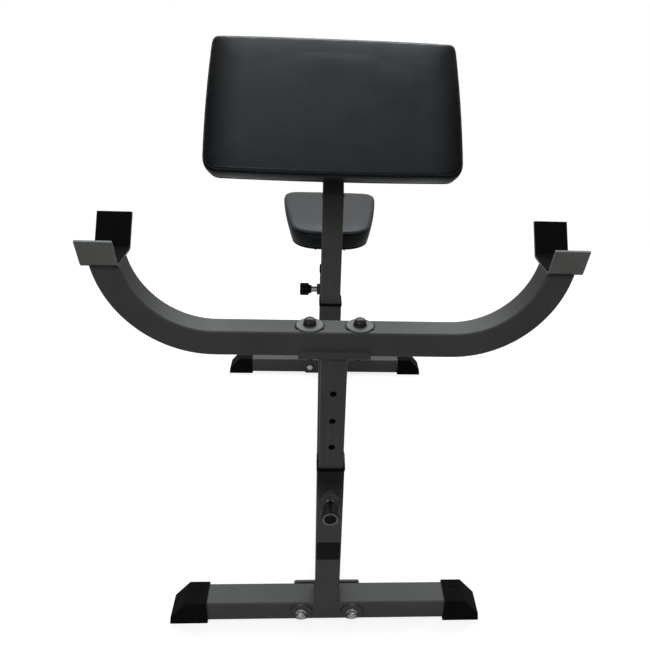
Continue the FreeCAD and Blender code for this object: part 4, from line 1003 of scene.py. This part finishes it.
def makeDomes(form):
    sides = form["sides"]
    stacks = []
    for x in (-boltX, boltX):
        stacks.append([ringArc((x, barY, form["seat"] + height), radius, "z", 0, 360 - 360 / sides, sides - 1)
                       for radius, height in form["profile"]])
    mesh = lofted("armBoltDomes", stacks)
    smoothFaces(mesh)
    domes = newPiece("armBoltDomes", mesh, domePlastic)
    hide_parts("arm_bolt_caps")
    settle(domes, "bar_rest")


makeDomes(domeForm)


# ring of small ribs on the face of each knob, light grey as a painted highlight
ribForm = {"Pitch": 2.5 * mm, "Wander": 0.0, "Seed": 4, "Finish": litRibPlastic}
knobLines = {"out": 80, "ring": 13.2, "sweep": 355, "steps": 71}
for name, axis, bar in (("bar", "y", (4.2, 0.9, 1.1)), ("pad", "x", (0.9, 4.2, 1.1)),
                        ("seat", "x", (0.9, 4.2, 1.1))):
    out, y, z = knobLines["out"], posts[name]["y"], posts[name]["pinZ"]
    centre = (0, y - out, z) if axis == "y" else (-out, y, z)
    ring = ringArc(centre, knobLines["ring"], axis, 0, knobLines["sweep"], knobLines["steps"])
    settings = dict(ribForm, Bar=tuple(c * mm for c in bar))
    grown(name + "KnobRibs", barTree, [ring], settings, name + "_pin", True)


# bare plate on the front upright
plateForm = {"wide": 46 * mm, "low": 183 * mm, "high": 230.5 * mm, "front": -468.5 * mm, "thick": 0.5 * mm,
             "round": 3 * mm, "edge": 0.2 * mm, "sunk": 0.1 * mm, "perArc": 6}


def makePlate(form):
    half, count = form["wide"] / 2 - form["round"], form["perArc"]
    low, high = form["low"] + form["round"], form["high"] - form["round"]
    corners = ((half, low, 270), (half, high, 0), (-half, high, 90), (-half, low, 180))
    rings = []
    for inset, out in ((0, -form["sunk"]), (0, form["thick"] - form["edge"]), (form["edge"], form["thick"])):
        ring = []
        reach, y = form["round"] - inset, form["front"] - out
        for x, z, first in corners:
            for k in range(count + 1):
                angle = math.radians(first + 90 * k / count)
                ring.append(Vector((x + reach * math.cos(angle), y, z + reach * math.sin(angle))))
        rings.append(ring)
    settle(newPiece("uprightPlate", lofted("uprightPlate", [rings]), platePlastic), "frame")


makePlate(plateForm)


# floor, light and camera
studioForm = {
    "floorHalf": 12.0, "floorShade": 0.31, "floorGlow": 0.82, "nearEdge": 0.9, "farEdge": 2.4,
    "paper": (300, 2), "mottle": 0.01, "skyFill": 0.41, "mirrored": 0.25,
    "topPower": 103, "topSize": (3.6, 2.2), "topPlace": (0.05, 1.7, 2.7), "topAim": (0, 0.1, 0.5),
    "topTint": (0.93, 0.98, 1.0),
    "frontPower": 22, "frontSize": (1.6, 1.2), "frontPlace": (-1.2, -3.2, 2.4), "frontAim": (0, 0, 0.8),
    "frontTint": (1.0, 1.0, 0.96),
    "overPower": 4.0, "overSize": (1.3, 1.8), "overPlace": (-0.6, -0.3, 3.1), "overAim": (-0.6, -0.3, 0),
    "overTint": (0.9, 0.96, 1.0),
}


def whiteShare(tree):
    path = tree.nodes.new("ShaderNodeLightPath")
    mirrored = combine(tree, "MULTIPLY", path.outputs["Is Glossy Ray"], studioForm["mirrored"])
    seen = combine(tree, "MAXIMUM", path.outputs["Is Camera Ray"], mirrored)
    return combine(tree, "MAXIMUM", seen, path.outputs["Is Transmission Ray"])


def makeFloor():
    form = studioForm
    mesh = bpy.data.meshes.new("studioFloor")
    half = form["floorHalf"]
    corners = [(-half, -half, 0), (half, -half, 0), (half, half, 0), (-half, half, 0)]
    mesh.from_pydata(corners, [], [(0, 1, 2, 3)])
    finish = bpy.data.materials.new("palePaper")
    finish.use_nodes = True
    tree = finish.node_tree
    tree.nodes.clear()
    add, link = tree.nodes.new, tree.links.new
    output = add("ShaderNodeOutputMaterial")
    coords = add("ShaderNodeTexCoord")
    flat = stretched(tree, coords.outputs["Object"], (1, 1, 0))
    length = add("ShaderNodeVectorMath")
    length.operation = "LENGTH"
    link(flat, length.inputs[0])
    away = spread(tree, length.outputs["Value"], 0.0, 1.0, form["nearEdge"], form["farEdge"])
    matte = add("ShaderNodeBsdfDiffuse")
    low, high = (form["floorShade"] * (1 + sign * form["mottle"]) for sign in (-1, 1))
    paper = noiseField(tree, coords.outputs["Object"], *form["paper"])
    tone = shadeRamp(tree, paper, [(0.3, (low,) * 3), (0.7, (high,) * 3)])
    link(mixShade(tree, away, tone, (0, 0, 0, 1)), matte.inputs["Color"])
    glow = add("ShaderNodeEmission")
    level = combine(tree, "ADD", combine(tree, "MULTIPLY", away, 1 - form["floorGlow"]), form["floorGlow"])
    link(combine(tree, "MULTIPLY", level, whiteShare(tree)), glow.inputs["Strength"])
    both = add("ShaderNodeAddShader")
    link(matte.outputs[0], both.inputs[0])
    link(glow.outputs[0], both.inputs[1])
    link(both.outputs[0], output.inputs["Surface"])
    floor = newPiece("studioFloor", mesh, finish)


def makeSky():
    sky = bpy.data.worlds.new("studioSky")
    sky.use_nodes = True
    tree = sky.node_tree
    light = tree.nodes["Background"]
    light.inputs["Color"].default_value = (1, 1, 1, 1)
    strength = spread(tree, whiteShare(tree), studioForm["skyFill"], 1.0, 0.0, 1.0)
    tree.links.new(strength, light.inputs["Strength"])
    scene.world = sky


def makeLamp(name, place, size, power, target, tint):
    lamp = bpy.data.lights.new(name, "AREA")
    lamp.shape = "RECTANGLE"
    lamp.size, lamp.size_y = size
    lamp.energy = power
    lamp.color = tint
    holder = bpy.data.objects.new(name, lamp)
    scene.collection.objects.link(holder)
    holder.location = place
    holder.rotation_euler = (Vector(target) - Vector(place)).to_track_quat("-Z", "Y").to_euler()


shot = {"place": (-0.02812, -1.34403, 1.21862), "yaw": 3.6463, "pitch": 26.4903, "roll": 2.6037,
        "focal": 625.92, "middle": (354.19, 290.94), "image": 650, "sensor": 36.0, "farthest": 60}


def makeCamera():
    yaw, pitch, roll = (math.radians(shot[k]) for k in ("yaw", "pitch", "roll"))
    ahead = Vector((math.sin(yaw) * math.cos(pitch), math.cos(yaw) * math.cos(pitch), -math.sin(pitch)))
    level = Vector((math.cos(yaw), -math.sin(yaw), 0))
    upright = level.cross(ahead)
    right = level * math.cos(roll) + upright * math.sin(roll)
    up = upright * math.cos(roll) - level * math.sin(roll)
    lens = bpy.data.cameras.new("photoCamera")
    lens.sensor_fit = "HORIZONTAL"
    lens.sensor_width = shot["sensor"]
    lens.lens = shot["focal"] / shot["image"] * shot["sensor"]
    lens.shift_x = 0.5 - shot["middle"][0] / shot["image"]
    lens.shift_y = shot["middle"][1] / shot["image"] - 0.5
    lens.clip_end = shot["farthest"]
    camera = bpy.data.objects.new("photoCamera", lens)
    scene.collection.objects.link(camera)
    place = Matrix((right, up, -ahead)).transposed().to_4x4()
    place.translation = shot["place"]
    camera.matrix_world = place
    scene.camera = camera


makeFloor()
makeSky()
for lamp in ("top", "front", "over"):
    makeLamp(lamp + "Lamp", *(studioForm[lamp + key] for key in ("Place", "Size", "Power", "Aim", "Tint")))
makeCamera()
scene.view_settings.view_transform = "Standard"
print("floor, light and camera set")
